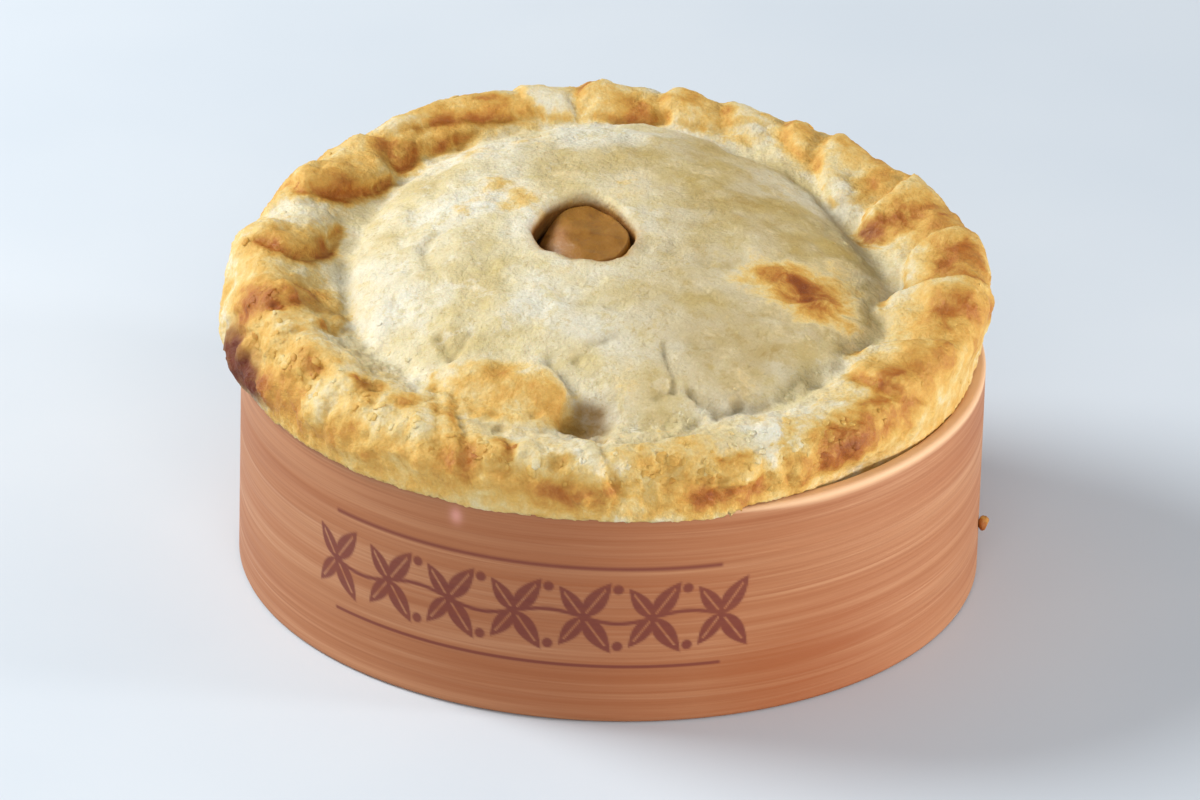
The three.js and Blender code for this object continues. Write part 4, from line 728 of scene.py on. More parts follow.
def normals(v, f):
    n = np.zeros_like(v)
    if f.shape[1] == 4:
        fn = np.cross(v[f[:, 2]] - v[f[:, 0]], v[f[:, 3]] - v[f[:, 1]])
    else:
        fn = np.cross(v[f[:, 1]] - v[f[:, 0]], v[f[:, 2]] - v[f[:, 0]])
    for m in range(f.shape[1]):
        np.add.at(n, f[:, m], fn)
    return n / np.maximum(np.linalg.norm(n, axis=1, keepdims=True), 1e-12)


def sample(F, p):
    """Field at any point."""
    q = [(p[:, 0] - X[0]) / GRID, (p[:, 1] - X[0]) / GRID, (p[:, 2] - Z[0]) / GRID]
    i = [np.clip(np.floor(c).astype(int), 0, s - 2) for c, s in zip(q, F.shape)]
    f = [np.clip(c - k, 0, 1) for c, k in zip(q, i)]
    out = 0
    for a in (0, 1):
        for b in (0, 1):
            for c in (0, 1):
                w = (f[0] if a else 1 - f[0]) * (f[1] if b else 1 - f[1]) * (f[2] if c else 1 - f[2])
                out = out + w * F[i[0] + a, i[1] + b, i[2] + c]
    return out


nor = normals(verts, quads)
open_air = sum(np.clip(sample(F, verts + nor * d) / d, 0, 1) * w for d, w in ((1.0, 0.3), (2.2, 0.4), (4.5, 0.3)))
depth_in = np.clip(-sample(F, verts - nor * 2.5) / 2.5, 0, 1.2)

# edges of the open mesh, as loops
def loops(faces):
    k = faces.shape[1]
    e = np.concatenate([faces[:, [m, (m + 1) % k]] for m in range(k)])
    key = e[:, 0] * (faces.max() + 1) + e[:, 1]
    rev = e[:, 1] * (faces.max() + 1) + e[:, 0]
    free = e[~np.isin(key, rev)]
    follow = dict(zip(free[:, 0].tolist(), free[:, 1].tolist()))
    out = []
    while follow:
        start = next(iter(follow))
        ring_, at = [start], follow.pop(start)
        while at != start and at in follow:
            ring_.append(at)
            at = follow.pop(at)
        out.append(ring_)
    return out


open_loops = loops(quads)
print("pastry:", len(verts), "points,", len(quads), "faces, open loops", [len(l) for l in open_loops])

# fine flaky detail along the normals, fading where the surface is cut by the case
p = verts.astype(np.float32)
rv = np.hypot(p[:, 0], p[:, 1])
on_rim = step(41, 47, rv)
hidden = np.clip((36.6 - p[:, 2]) / 1.0, 0, 1) * (rv < 60.5)
t = layers(p, 3.2, 60, 3) * 2.6
terrace = np.floor(t) + step(0.72, 1.0, t - np.floor(t)) - t
fine = noise(p, 1.5, 70) * 0.10 + noise(p, 0.9, 71) * 0.07
front = step(75, 45, np.abs(turn(np.degrees(np.arctan2(p[:, 1], p[:, 0])), 250)))
flaky = layers(p, 2.0, 64, 2) * 2.4
flaky = np.floor(flaky) + step(0.6, 1.0, flaky - np.floor(flaky)) - flaky
move = (terrace * (0.06 + (0.12 + 0.10 * front) * on_rim) + flaky * 0.13 * front * on_rim + fine * (0.6 + (0.5 + 0.5 * front) * on_rim)) * (1 - hidden)
fixed = np.unique(np.concatenate([np.array(l) for l in open_loops]))
move[fixed] = 0
moved = verts + nor * move[:, None]
# nothing comes nearer to the case than its gap
mr = np.hypot(moved[:, 0], moved[:, 1])
clash = (moved[:, 2] < CASE_HEIGHT + GAP) & (mr > inside_r - 0.02) & (mr < outside_r + 0.02)
moved[clash] = verts[clash]
verts = moved

# ---------------------------------------------------------------- colours as numbers on the surface
attr = {}
# openness of the surface, which the pastry's colour turns into painted shade in creases and hollows
attr["air"] = np.clip((open_air - 0.25) / 0.65, 0, 1)
brown_and_shade = np.zeros(len(verts))
warp = np.stack([noise(p, 2.4, 80), noise(p, 2.4, 81), noise(p, 2.4, 82)], 1) * 0.6
for x, y, z_, size, strength in BROWNED_AND_SHADED:
    d2_ = ((verts + warp - (x, y, z_)) ** 2).sum(1)
    near_ = d2_ < (size * 3.5) ** 2
    one = 0.42 * strength * np.exp(-d2_[near_] / (size * size * 1.9))
    brown_and_shade[near_] = brown_and_shade[near_] + one - brown_and_shade[near_] * one
deg_v = np.degrees(np.arctan2(verts[:, 1], verts[:, 0])) % 360
attr["spots_and_shade"] = brown_and_shade
attr["rim"] = on_rim
# painted shade along the cracks in the lid
attr["crack"] = np.zeros(len(verts))
for depth, width, points in CRACKS:
    P = np.array(points, float)
    best = np.full(len(verts), 99.0)
    for (xa, ya), (xb, yb) in zip(P[:-1], P[1:]):
        t = np.clip(((p[:, 0] - xa) * (xb - xa) + (p[:, 1] - ya) * (yb - ya)) / ((xb - xa) ** 2 + (yb - ya) ** 2), 0, 1)
        best = np.minimum(best, np.hypot(p[:, 0] - xa - t * (xb - xa), p[:, 1] - ya - t * (yb - ya)))
    attr["crack"] = np.maximum(attr["crack"], depth * np.exp(-((best / (width * 1.1)) ** 2)))
attr["vent"] = np.exp(-(((np.hypot(p[:, 0] - VENT_X, p[:, 1] - VENT_Y) - vent_r(np.degrees(np.arctan2(p[:, 1] - VENT_Y, p[:, 0] - VENT_X)))) / 1.3) ** 2)) * step(56.9, 54.6, p[:, 2])
flap_d = outline_distance(p[:, 0].astype(float), p[:, 1].astype(float), FLAP)
cloudy = noise(p, 6.5, 90) * 0.6 + noise(p, 3.0, 91) * 0.4
gold = np.zeros(len(verts))
for x, y, z_, size, strength in GOLDEN:
    d2_ = ((verts + warp * 1.6 - (x, y, z_)) ** 2).sum(1)
    near_ = d2_ < (size * 3.0) ** 2
    one = strength * np.exp(-d2_[near_] / (size * size))
    gold[near_] = np.maximum(gold[near_], one) + 0.22 * np.minimum(gold[near_], one)
# the outside of the rim that the front view doesn't show
hidden_side = step(8, 22, deg_v) * step(172, 160, deg_v) * step(56.5, 59.0, rv)
gold = gold * (0.92 + 0.42 * cloudy) + hidden_side * np.clip(0.40 + 0.35 * cloudy - gold, 0, 1)


def marks(rows_, reach=1.0):
    """Soft union of round marks on the surface."""
    total = np.zeros(len(verts))
    for *place, size, strength in rows_:
        here = verts[:, : len(place)] + (warp * 1.4)[:, : len(place)] - place
        one = strength * np.exp(-(here**2).sum(1) / (size * size * reach))
        total = total + one - total * one
    return total


pale = marks(PALE, 0.8)
low = step(45.0, 39.0, p[:, 2])
ground = (around(RIM_GOLD)(deg_v) + 0.05 * low) * on_rim * (0.45 + 0.55 * step(44.5, 50.0, rv)) * (1 + 0.35 * noise(p, 5.0, 96) + 0.25 * noise(p, 2.2, 97))
gold = gold * (0.80 - 0.40 * pale) + ground * (1 - 0.66 * pale) * (1 - 0.9 * np.clip(gold, 0, 1)) + 0.10 * step(1.0, -2.0, flap_d)
gold += 0.055 * (1 - on_rim) * (noise(p, 7.0, 94) + 0.7 * noise(p, 3.2, 95))
attr["burnt_and_shade"] = np.clip(marks(BURNT_AND_DROOP_SHADE), 0, 1)
# painted shade of the hollows
attr["hollow"] = np.clip(marks(HOLLOW_SHADE), 0, 1)
# painted shade: the creases under the folds are darkened with brown, added to the browned places
fold_crease_shade = np.zeros(len(verts))
for height, wide, deep, sharp, body_side, off, line in FOLDS:
    line = np.array(line)
    near_ = np.linalg.norm(verts - line.mean(0), axis=1) < 0.6 * np.linalg.norm(line[-1] - line[0]) + 6
    q, best = verts[near_] + 0.4 * warp[near_], np.full(near_.sum(), 99.0)
    for a, b in zip(line[:-1], line[1:]):
        t = np.clip((q - a) @ (b - a) / ((b - a) @ (b - a)), 0, 1)
        best = np.minimum(best, np.linalg.norm(q - a - t[:, None] * (b - a), axis=1))
    fold_crease_shade[near_] = np.maximum(fold_crease_shade[near_], (0.12 + 0.16 * height) * (1.15 if off > 0.9 else 1.0) * np.exp(-((best / 1.0) ** 2)))
attr["spots_and_shade"] = attr["spots_and_shade"] + fold_crease_shade * step(60.6, 57.5, rv) * (1 - attr["spots_and_shade"])
# less painted shade on the rim's foot just outside the case
attr["air"] = np.maximum(attr["air"], 0.9 * step(39.5, 37.5, p[:, 2]) * (rv > 56))
# tan of the lid, partly painted shade of its right side
attr["tan_and_shade"] = np.clip(marks(TAN_AND_SHADE, 0.7) * (1 - on_rim) * (1 + 0.25 * noise(p, 8.0, 98) + 0.2 * noise(p, 3.0, 99)), 0, 1)
attr["gold"] = gold


# ---------------------------------------------------------------- closing the pastry below
class Builder:
    def __init__(self, verts, faces):
        self.v = [np.asarray(verts, float)]
        self.count = len(verts)
        self.f = [faces]

    def add(self, pts):
        ids = np.arange(self.count, self.count + len(pts))
        self.v.append(np.asarray(pts, float))
        self.count += len(pts)
        return ids

    def strip(self, ids, pts):
        """Faces from a free edge loop to a new loop of as many points."""
        new = self.add(pts)
        a, b = np.asarray(ids), np.roll(ids, -1)
        c, d = new, np.roll(new, -1)
        self.f.append(np.stack([b, a, c, d], 1))
        return new

    def fan(self, ids, centre):
        c = self.add([centre])[0]
        a, b = np.asarray(ids), np.roll(ids, -1)
        self.tris = getattr(self, "tris", [])
        self.tris.append(np.stack([b, a, np.full(len(a), c)], 1))

    def all(self):
        return np.concatenate(self.v), np.concatenate(self.f), np.concatenate(self.tris) if hasattr(self, "tris") else np.zeros((0, 3), int)


B = Builder(verts, quads)
open_loops.sort(key=len)
vent_loop, foot_loop = open_loops[-2], open_loops[-1]
# the outer wall down to the case's floor
L = verts[foot_loop]
ang = np.arctan2(L[:, 1], L[:, 0])
ids = np.array(foot_loop)
for rr, zz in ((inside_r, 24.0), (inside_r, 3.4), (inside_r - 0.6, 2.75), (28.0, 2.72)):
    ids = B.strip(ids, np.stack([rr * np.cos(ang), rr * np.sin(ang), np.full(len(ang), zz)], 1))
B.fan(ids, (0, 0, 2.72))
# the hollow round the filling
L = verts[vent_loop]
ids = np.array(vent_loop)
dx, dy = L[:, 0] - VENT_X, L[:, 1] - VENT_Y
n = np.hypot(dx, dy)
dx, dy = dx / n, dy / n
reach = FILLING_RADIUS + GAP
bq = VENT_X * dx + VENT_Y * dy
far = -bq + np.sqrt(bq * bq - (VENT_X**2 + VENT_Y**2 - reach**2))
for t in (0.012, 0.06, 0.2, 0.4, 0.6, 0.8, 1.0):
    d = n + 0.3 + (far - n - 0.3) * t
    px, py = VENT_X + dx * d, VENT_Y + dy * d
    ids = B.strip(ids, np.stack([px, py, dome(px, py) - LID_THICKNESS + GAP], 1))
for rr, zz in ((reach, 40.0), (reach - 0.8, 26.0), (reach - 1.7, 14.0), (FILLING_FOOT_RADIUS + GAP, FILLING_BOTTOM - GAP), (36.0, FILLING_BOTTOM - GAP), (16.0, FILLING_BOTTOM - GAP)):
    end_a = np.arctan2(VENT_Y + dy * far, VENT_X + dx * far)
    ids = B.strip(ids, np.stack([rr * np.cos(end_a), rr * np.sin(end_a), np.full(len(end_a), zz)], 1))
B.fan(ids, (0, 0, FILLING_BOTTOM - GAP))
crust_v, crust_q, crust_t = B.all()


# ---------------------------------------------------------------- meshes into the scene
def mesh_object(name, v, quads_, tris, values=None, smooth=True):
    mesh = bpy.data.meshes.new(name)
    faces = len(quads_) + len(tris)
    mesh.vertices.add(len(v))
    mesh.vertices.foreach_set("co", (np.asarray(v) / 1000.0).astype(np.float32).ravel())
    mesh.loops.add(4 * len(quads_) + 3 * len(tris))
    mesh.loops.foreach_set("vertex_index", np.concatenate([np.asarray(quads_).ravel(), np.asarray(tris).ravel()]).astype(np.int32))
    mesh.polygons.add(faces)
    starts = np.concatenate([np.arange(len(quads_)) * 4, 4 * len(quads_) + np.arange(len(tris)) * 3])
    mesh.polygons.foreach_set("loop_start", starts.astype(np.int32))
    mesh.polygons.foreach_set("use_smooth", np.full(faces, smooth))
    mesh.update(calc_edges=True)
    mesh.validate()
    for key, val in (values or {}).items():
        full = np.zeros(len(v), np.float32)
        full[: len(val)] = val
        mesh.attributes.new(key, "FLOAT", "POINT").data.foreach_set("value", full)
    obj = bpy.data.objects.new(name, mesh)
    bpy.context.scene.collection.objects.link(obj)
    return obj


crust = mesh_object("pastry_crust", crust_v, crust_q, crust_t, attr)
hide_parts("crust")
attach(crust, "root")


# loose flakes of the top layer, lifted at one side, all in one piece
FLAKES = 300
flake_rng = np.random.default_rng(77)
want = on_rim * (0.12 + 0.88 * front) * (p[:, 2] > 38.2) * (rv < 60.6) * (nor[:, 2] > -0.1) * ((nor[:, 0] * p[:, 0] + nor[:, 1] * p[:, 1]) > 0.12 * rv) * np.clip(0.6 + 0.6 * noise(p, 6.0, 130), 0.1, 1) * step(0.5, 2.0, flap_d) + 0.012 * (1 - on_rim) * (np.hypot(p[:, 0] - VENT_X, p[:, 1] - VENT_Y) > 13)
pick_ = flake_rng.choice(len(p), FLAKES, replace=False, p=want / want.sum())
flake_v, flake_f, flake_from = [], [], []
for n in pick_:
    c, N = verts[n], nor[n]
    T = np.cross(N, (0.3, 0.2, 0.93))
    T /= np.linalg.norm(T)
    B_ = np.cross(N, T)
    spin_ = flake_rng.uniform(0, 2 * np.pi)
    T, B_ = T * math.cos(spin_) + B_ * math.sin(spin_), B_ * math.cos(spin_) - T * math.sin(spin_)
    size = flake_rng.uniform(0.45, 1.25) * (1.0 if on_rim[n] > 0.5 else 0.6)
    slim = flake_rng.uniform(0.45, 0.95)
    lift = flake_rng.uniform(0.02, 0.15)
    thick = flake_rng.uniform(0.06, 0.13)
    count_ = 8
    ang_ = np.linspace(0, 2 * np.pi, count_, endpoint=False) + flake_rng.uniform(-0.25, 0.25, count_)
    rad_ = size * flake_rng.uniform(0.7, 1.15, count_)
    u_, w_ = rad_ * np.cos(ang_), rad_ * np.sin(ang_) * slim
    rings_ = []
    for scale_, h_ in ((0.75, -0.35), (1.0, 0.0), (0.85, thick), (0.4, thick * 1.25)):
        up_ = h_ + lift * (u_ * scale_ / size) - 0.10 * (u_**2 + w_**2) * scale_**2 / size - 0.02 if h_ > -0.3 else h_ + 0 * u_
        rings_.append(c + np.outer(u_ * scale_, T) + np.outer(w_ * scale_, B_) + np.outer(up_, N))
    base_i = sum(len(x) for x in flake_v)
    flake_v += rings_ + [np.stack([c + N * -0.4, c + N * (thick * 1.25)])]
    a_ = np.arange(count_)
    b_ = (a_ + 1) % count_
    for k in range(3):
        o0, o1 = base_i + k * count_, base_i + (k + 1) * count_
        flake_f += [np.stack([o0 + a_, o0 + b_, o1 + b_], 1), np.stack([o0 + a_, o1 + b_, o1 + a_], 1)]
    low_i, high_i = base_i + 4 * count_, base_i + 4 * count_ + 1
    flake_f += [np.stack([base_i + b_, base_i + a_, np.full(count_, low_i)], 1), np.stack([base_i + 3 * count_ + a_, base_i + 3 * count_ + b_, np.full(count_, high_i)], 1)]
    flake_from += [n] * (4 * count_ + 2)
flake_v, flake_f, flake_from = np.concatenate(flake_v), np.concatenate(flake_f), np.array(flake_from)
flake_attr = {k: v[flake_from].copy() for k, v in attr.items()}
flake_attr["gold"] += np.repeat(flake_rng.uniform(-0.08, 0.12, FLAKES), 34)
flakes = mesh_object("crust_flakes", flake_v, np.zeros((0, 4), int), flake_f, flake_attr)
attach(flakes, "root")

# one brown crumb, stuck to the right side of the case
lat, lon = np.meshgrid(np.linspace(-np.pi / 2, np.pi / 2, 13)[1:-1], np.linspace(0, 2 * np.pi, 20, endpoint=False), indexing="ij")
ball_ = np.stack([np.cos(lat) * np.cos(lon), np.cos(lat) * np.sin(lon), np.sin(lat)], -1).reshape(-1, 3)
ball_ = np.concatenate([ball_, [[0, 0, -1.0], [0, 0, 1.0]]])
ball_ *= (1 + 0.22 * noise(ball_, 0.9, 140) + 0.10 * noise(ball_, 0.4, 141))[:, None]
out_dir = np.array([math.cos(math.radians(355)), math.sin(math.radians(355)), 0.0])
side_dir = np.array([-out_dir[1], out_dir[0], 0.0])
crumb_v = out_dir * 60.75 + np.array([0, 0, 9.2]) + np.outer(ball_[:, 0] * 0.85, out_dir) + np.outer(ball_[:, 1] * 0.9, side_dir) + np.outer(ball_[:, 2] * 1.25, [0.12, 0, 1.0])
k_ = np.arange(20)
crumb_q = np.concatenate([np.stack([r_ * 20 + k_, r_ * 20 + (k_ + 1) % 20, (r_ + 1) * 20 + (k_ + 1) % 20, (r_ + 1) * 20 + k_], 1) for r_ in range(10)])
crumb_t = np.concatenate([np.stack([(k_ + 1) % 20, k_, np.full(20, 220)], 1), np.stack([200 + k_, 200 + (k_ + 1) % 20, np.full(20, 221)], 1)])
many = len(crumb_v)
crumb = mesh_object("brown_crumb", crumb_v, crumb_q, crumb_t, {"air": np.ones(many), "spots_and_shade": np.full(many, 0.75), "gold": np.full(many, 0.25), "rim": np.ones(many), "burnt_and_shade": np.full(many, 0.2)})
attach(crumb, "root")


# ---------------------------------------------------------------- filling
def rings(points_by_ring):
    """Faces between rings of equal length, from the first to the last."""
    v = np.concatenate(points_by_ring)
    n = len(points_by_ring[0])
    f = []
    for k in range(len(points_by_ring) - 1):
        a = np.arange(n) + k * n
        b = np.roll(a, -1)
        f.append(np.stack([a, a + n, b + n, b], 1))
    return v, np.concatenate(f)


SECT = 160
th = np.linspace(0, 2 * np.pi, SECT, endpoint=False)
cx, cy = np.cos(th), np.sin(th)
bq = VENT_X * cx + VENT_Y * cy
far = -bq + np.sqrt(bq * bq - (VENT_X**2 + VENT_Y**2 - FILLING_RADIUS**2))
hole_r = vent_r(np.degrees(th)) - 0.35
levels = []
# the fruit fills the vent from the right and falls away at the left


def filling_top(x, y):
    base = dome(x, y) - LID_THICKNESS
    inside = step(1.0, 0.88, np.hypot(x - VENT_X, y - VENT_Y) / (vent_r(np.degrees(np.arctan2(y - VENT_Y, x - VENT_X))) - 0.35))
    up = 1.3 + 2.9 * step(-14.0, -6.8, x + 0.25 * (y - 3.0)) - 0.5 * step(3.0, 9.0, y)
    pts = flat(x, y)
    up = up + (0.42 * noise(pts, 6.0, 119) + 0.22 * noise(pts, 3.0, 120) + 0.04 * noise(pts, 1.6, 121)).reshape(x.shape)
    return base + up * inside


for t in np.linspace(0.03, 1.0, 34):
    d = hole_r * t
    x, y = VENT_X + cx * d, VENT_Y + cy * d
    levels.append(np.stack([x, y, filling_top(x, y)], 1))
for t in (0.05, 0.2, 0.4, 0.6, 0.8, 0.93, 1.0):
    d = hole_r + (far - hole_r) * t
    x, y = VENT_X + cx * d, VENT_Y + cy * d
    levels.append(np.stack([x, y, dome(x, y) - LID_THICKNESS - 0.4 * step(0.9, 1.0, t)], 1))
end = np.arctan2(VENT_Y + cy * far, VENT_X + cx * far)
for rr, zz in ((FILLING_RADIUS, 40.0), (FILLING_RADIUS - 0.8, 26.0), (FILLING_RADIUS - 1.7, 14.0), (FILLING_FOOT_RADIUS, FILLING_BOTTOM), (34.0, FILLING_BOTTOM), (14.0, FILLING_BOTTOM)):
    levels.append(np.stack([rr * np.cos(end), rr * np.sin(end), np.full(SECT, zz)], 1))
fv, fq = rings(levels)
top_c, bot_c = len(fv), len(fv) + 1
fv = np.concatenate([fv, [[VENT_X, VENT_Y, float(filling_top(np.array([VENT_X]), np.array([VENT_Y]))[0])]], [[0, 0, FILLING_BOTTOM]]])
first = np.arange(SECT)
last = first + (len(levels) - 1) * SECT
ft = np.concatenate([np.stack([first, np.roll(first, -1), np.full(SECT, top_c)], 1), np.stack([np.roll(last, -1), last, np.full(SECT, bot_c)], 1)])
# height of the fruit above the lid's underside, which its colour turns into painted shade
base_z = dome(fv[:, 0], fv[:, 1]) - LID_THICKNESS
filling = mesh_object("apple_filling", fv, fq, ft, {"height": np.clip((fv[:, 2] - base_z) / 3.5, 0, 1), "strip": np.exp(-(((fv[:, 0] + 9.2 + 0.2 * (fv[:, 1] - 3.0)) / 0.9) ** 2) - ((fv[:, 1] - 3.0) / 4.0) ** 2)})
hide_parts("filling")
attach(filling, "root")

# ---------------------------------------------------------------- case
angles = []
a = 0.0
while a < 360 - 1e-6:
    angles.append(a)
    a += 0.25 if 214 <= a < 306 else 1.0
angles = np.radians(np.array(angles))
NA = len(angles)
profile = []  # (radius, height) going up the outside, over the edge, down the inside, across the floor
R0, RI, H = CASE_RADIUS, CASE_RADIUS - CASE_WALL, CASE_HEIGHT
for zz in (0.0,):
    profile.append((R0 - 0.5, 0.0))
profile += [(R0 - 0.15, 0.12), (R0, 0.45)]
for zz in np.arange(0.8, H - 0.8, 0.28):
    profile.append((R0, zz))
profile += [(R0, H - 0.7), (R0 - 0.06, H - 0.42), (R0 - 0.2, H - 0.2), (R0 - 0.42, H - 0.05), (R0 - 0.7, H)]
profile += [(R0 - 1.0, H), (R0 - 1.4, H), (RI + 0.6, H - 0.02), (RI + 0.3, H - 0.1), (RI + 0.1, H - 0.28), (RI, H - 0.55)]
for zz in (33, 30, 26, 20, 14, 8, 4, CASE_FLOOR + 0.3):
    profile.append((RI, zz))
profile += [(RI - 0.3, CASE_FLOOR), (50, CASE_FLOOR), (36, CASE_FLOOR), (18, CASE_FLOOR)]
rows = []
for rr, zz in profile:
    pts = np.stack([np.cos(angles) * 60, np.sin(angles) * 60, np.full(NA, zz)], 1)
    wave = 0.05 * noise(pts * [1, 1, 0.3], 24.0, 200) * step(0.5, 5, zz)
    rise = (0.10 * noise(pts * [1, 1, 0], 20.0, 201) + 0.05 * noise(pts * [1, 1, 0], 6.0, 202)) if zz > H - 0.9 else 0.0
    rad = rr + (np.minimum(wave, 0.0) if rr > 55 and rr > RI + 0.05 else 0.0)
    rows.append(np.stack([rad * np.cos(angles), rad * np.sin(angles), np.full(NA, zz) + np.minimum(rise, 0.0)], 1))
cv, cq = rings(rows)
cq = cq[:, ::-1]
low_c, in_c = len(cv), len(cv) + 1
cv = np.concatenate([cv, [[0, 0, 0.0]], [[0, 0, CASE_FLOOR]]])
first = np.arange(NA)
last = first + (len(rows) - 1) * NA
ct = np.concatenate([np.stack([np.roll(first, -1), first, np.full(NA, low_c)], 1), np.stack([last, np.roll(last, -1), np.full(NA, in_c)], 1)])

# printed ornament: a frieze of paired leaves and berries between thin rules, worked out on the band
FRONT_MID = 256.0
s = turn(np.degrees(np.arctan2(cv[:, 1], cv[:, 0])), FRONT_MID) * np.pi / 180 * CASE_RADIUS
zc = cv[:, 2]
outer = np.hypot(cv[:, 0], cv[:, 1]) > CASE_RADIUS - 0.3
soft = lambda d, w=0.16: 1 - step(-w, w, d)


def leaf(x, y, cx_, cy_, length, width, rot):
    ux = (x - cx_) * math.cos(rot) + (y - cy_) * math.sin(rot)
    uy = -(x - cx_) * math.sin(rot) + (y - cy_) * math.cos(rot)
    t = np.clip(ux / length, 0, 1)
    half = width * np.sin(np.pi * t**0.8) ** 0.9
    d = np.abs(uy) - half
    d = np.where((ux < 0) | (ux > length), np.maximum(d, np.hypot(np.where(ux < 0, ux, ux - length), uy)), d)
    vein = 0.14 - np.abs(uy)
    return np.maximum(d, np.where((t > 0.12) & (t < 0.8), vein, -9))


SPAN = 33.0
PITCH = 11.0
mid_z = 18.5
ink = np.zeros(len(cv))
stem = mid_z + 1.0 * np.sin(s * 2 * np.pi / (2 * PITCH))
ink = np.maximum(ink, soft(np.abs(zc - stem) - 0.34) * (np.abs(s) < SPAN))
for n in range(-3, 4):
    x0 = n * PITCH
    up = 1 if n % 2 else -1
    zb_ = mid_z + 1.0 * math.sin(x0 * 2 * math.pi / (2 * PITCH))
    for rot, ln, wd in ((0.95, 7.6, 1.65), (-0.95, 7.6, 1.65), (2.2, 6.4, 1.4), (-2.2, 6.4, 1.4)):
        ink = np.maximum(ink, soft(leaf(s, zc, x0, zb_, ln, wd, rot)))
    if abs(n) < 3:
        ink = np.maximum(ink, soft(np.hypot(s - x0 - PITCH / 2, zc - mid_z - 5.0) - 0.85))
        ink = np.maximum(ink, soft(np.hypot(s - x0 - PITCH / 2, zc - mid_z + 5.0) - 0.85))
for zr, wd in ((mid_z - 8.6, 0.30), (mid_z + 8.6, 0.30)):
    ink = np.maximum(ink, soft(np.abs(zc - zr) - wd) * soft(np.abs(s) - SPAN))
ink = ink * outer
# on the right the pale top edge reaches further down the outside, as a painted highlight
at_right = step(48, 30, np.abs(turn(np.degrees(np.arctan2(cv[:, 1], cv[:, 0])), 336)))
# painted shade darkens the front of the band and low on its right; a small pale pink spot sits near the top of the
# front
case = mesh_object("wooden_case", cv, cq, ct, {"ink": ink, "pale_pink_spot": np.exp(-(((s + 9.9) / 1.0) ** 2) - ((zc - 33.2) / 1.3) ** 2) * outer, "mid": np.maximum(np.exp(-((s - 15.3) / 30.0) ** 2), 1.5 * np.exp(-(((s - 46.0) / 22.0) ** 2)) * step(27, 9, zc)) * outer, "edge": step(H - 0.75 - 1.1 * at_right, H - 0.15 - 0.4 * at_right, zc) * (np.hypot(cv[:, 0], cv[:, 1]) > RI - 0.1)})
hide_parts("case")
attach(case, "root")


# ---------------------------------------------------------------- materials
def colour(hexa):
    c = [int(hexa[k : k + 2], 16) / 255 for k in (0, 2, 4)]
    return tuple(x / 12.92 if x <= 0.04045 else ((x + 0.055) / 1.055) ** 2.4 for x in c) + (1.0,)


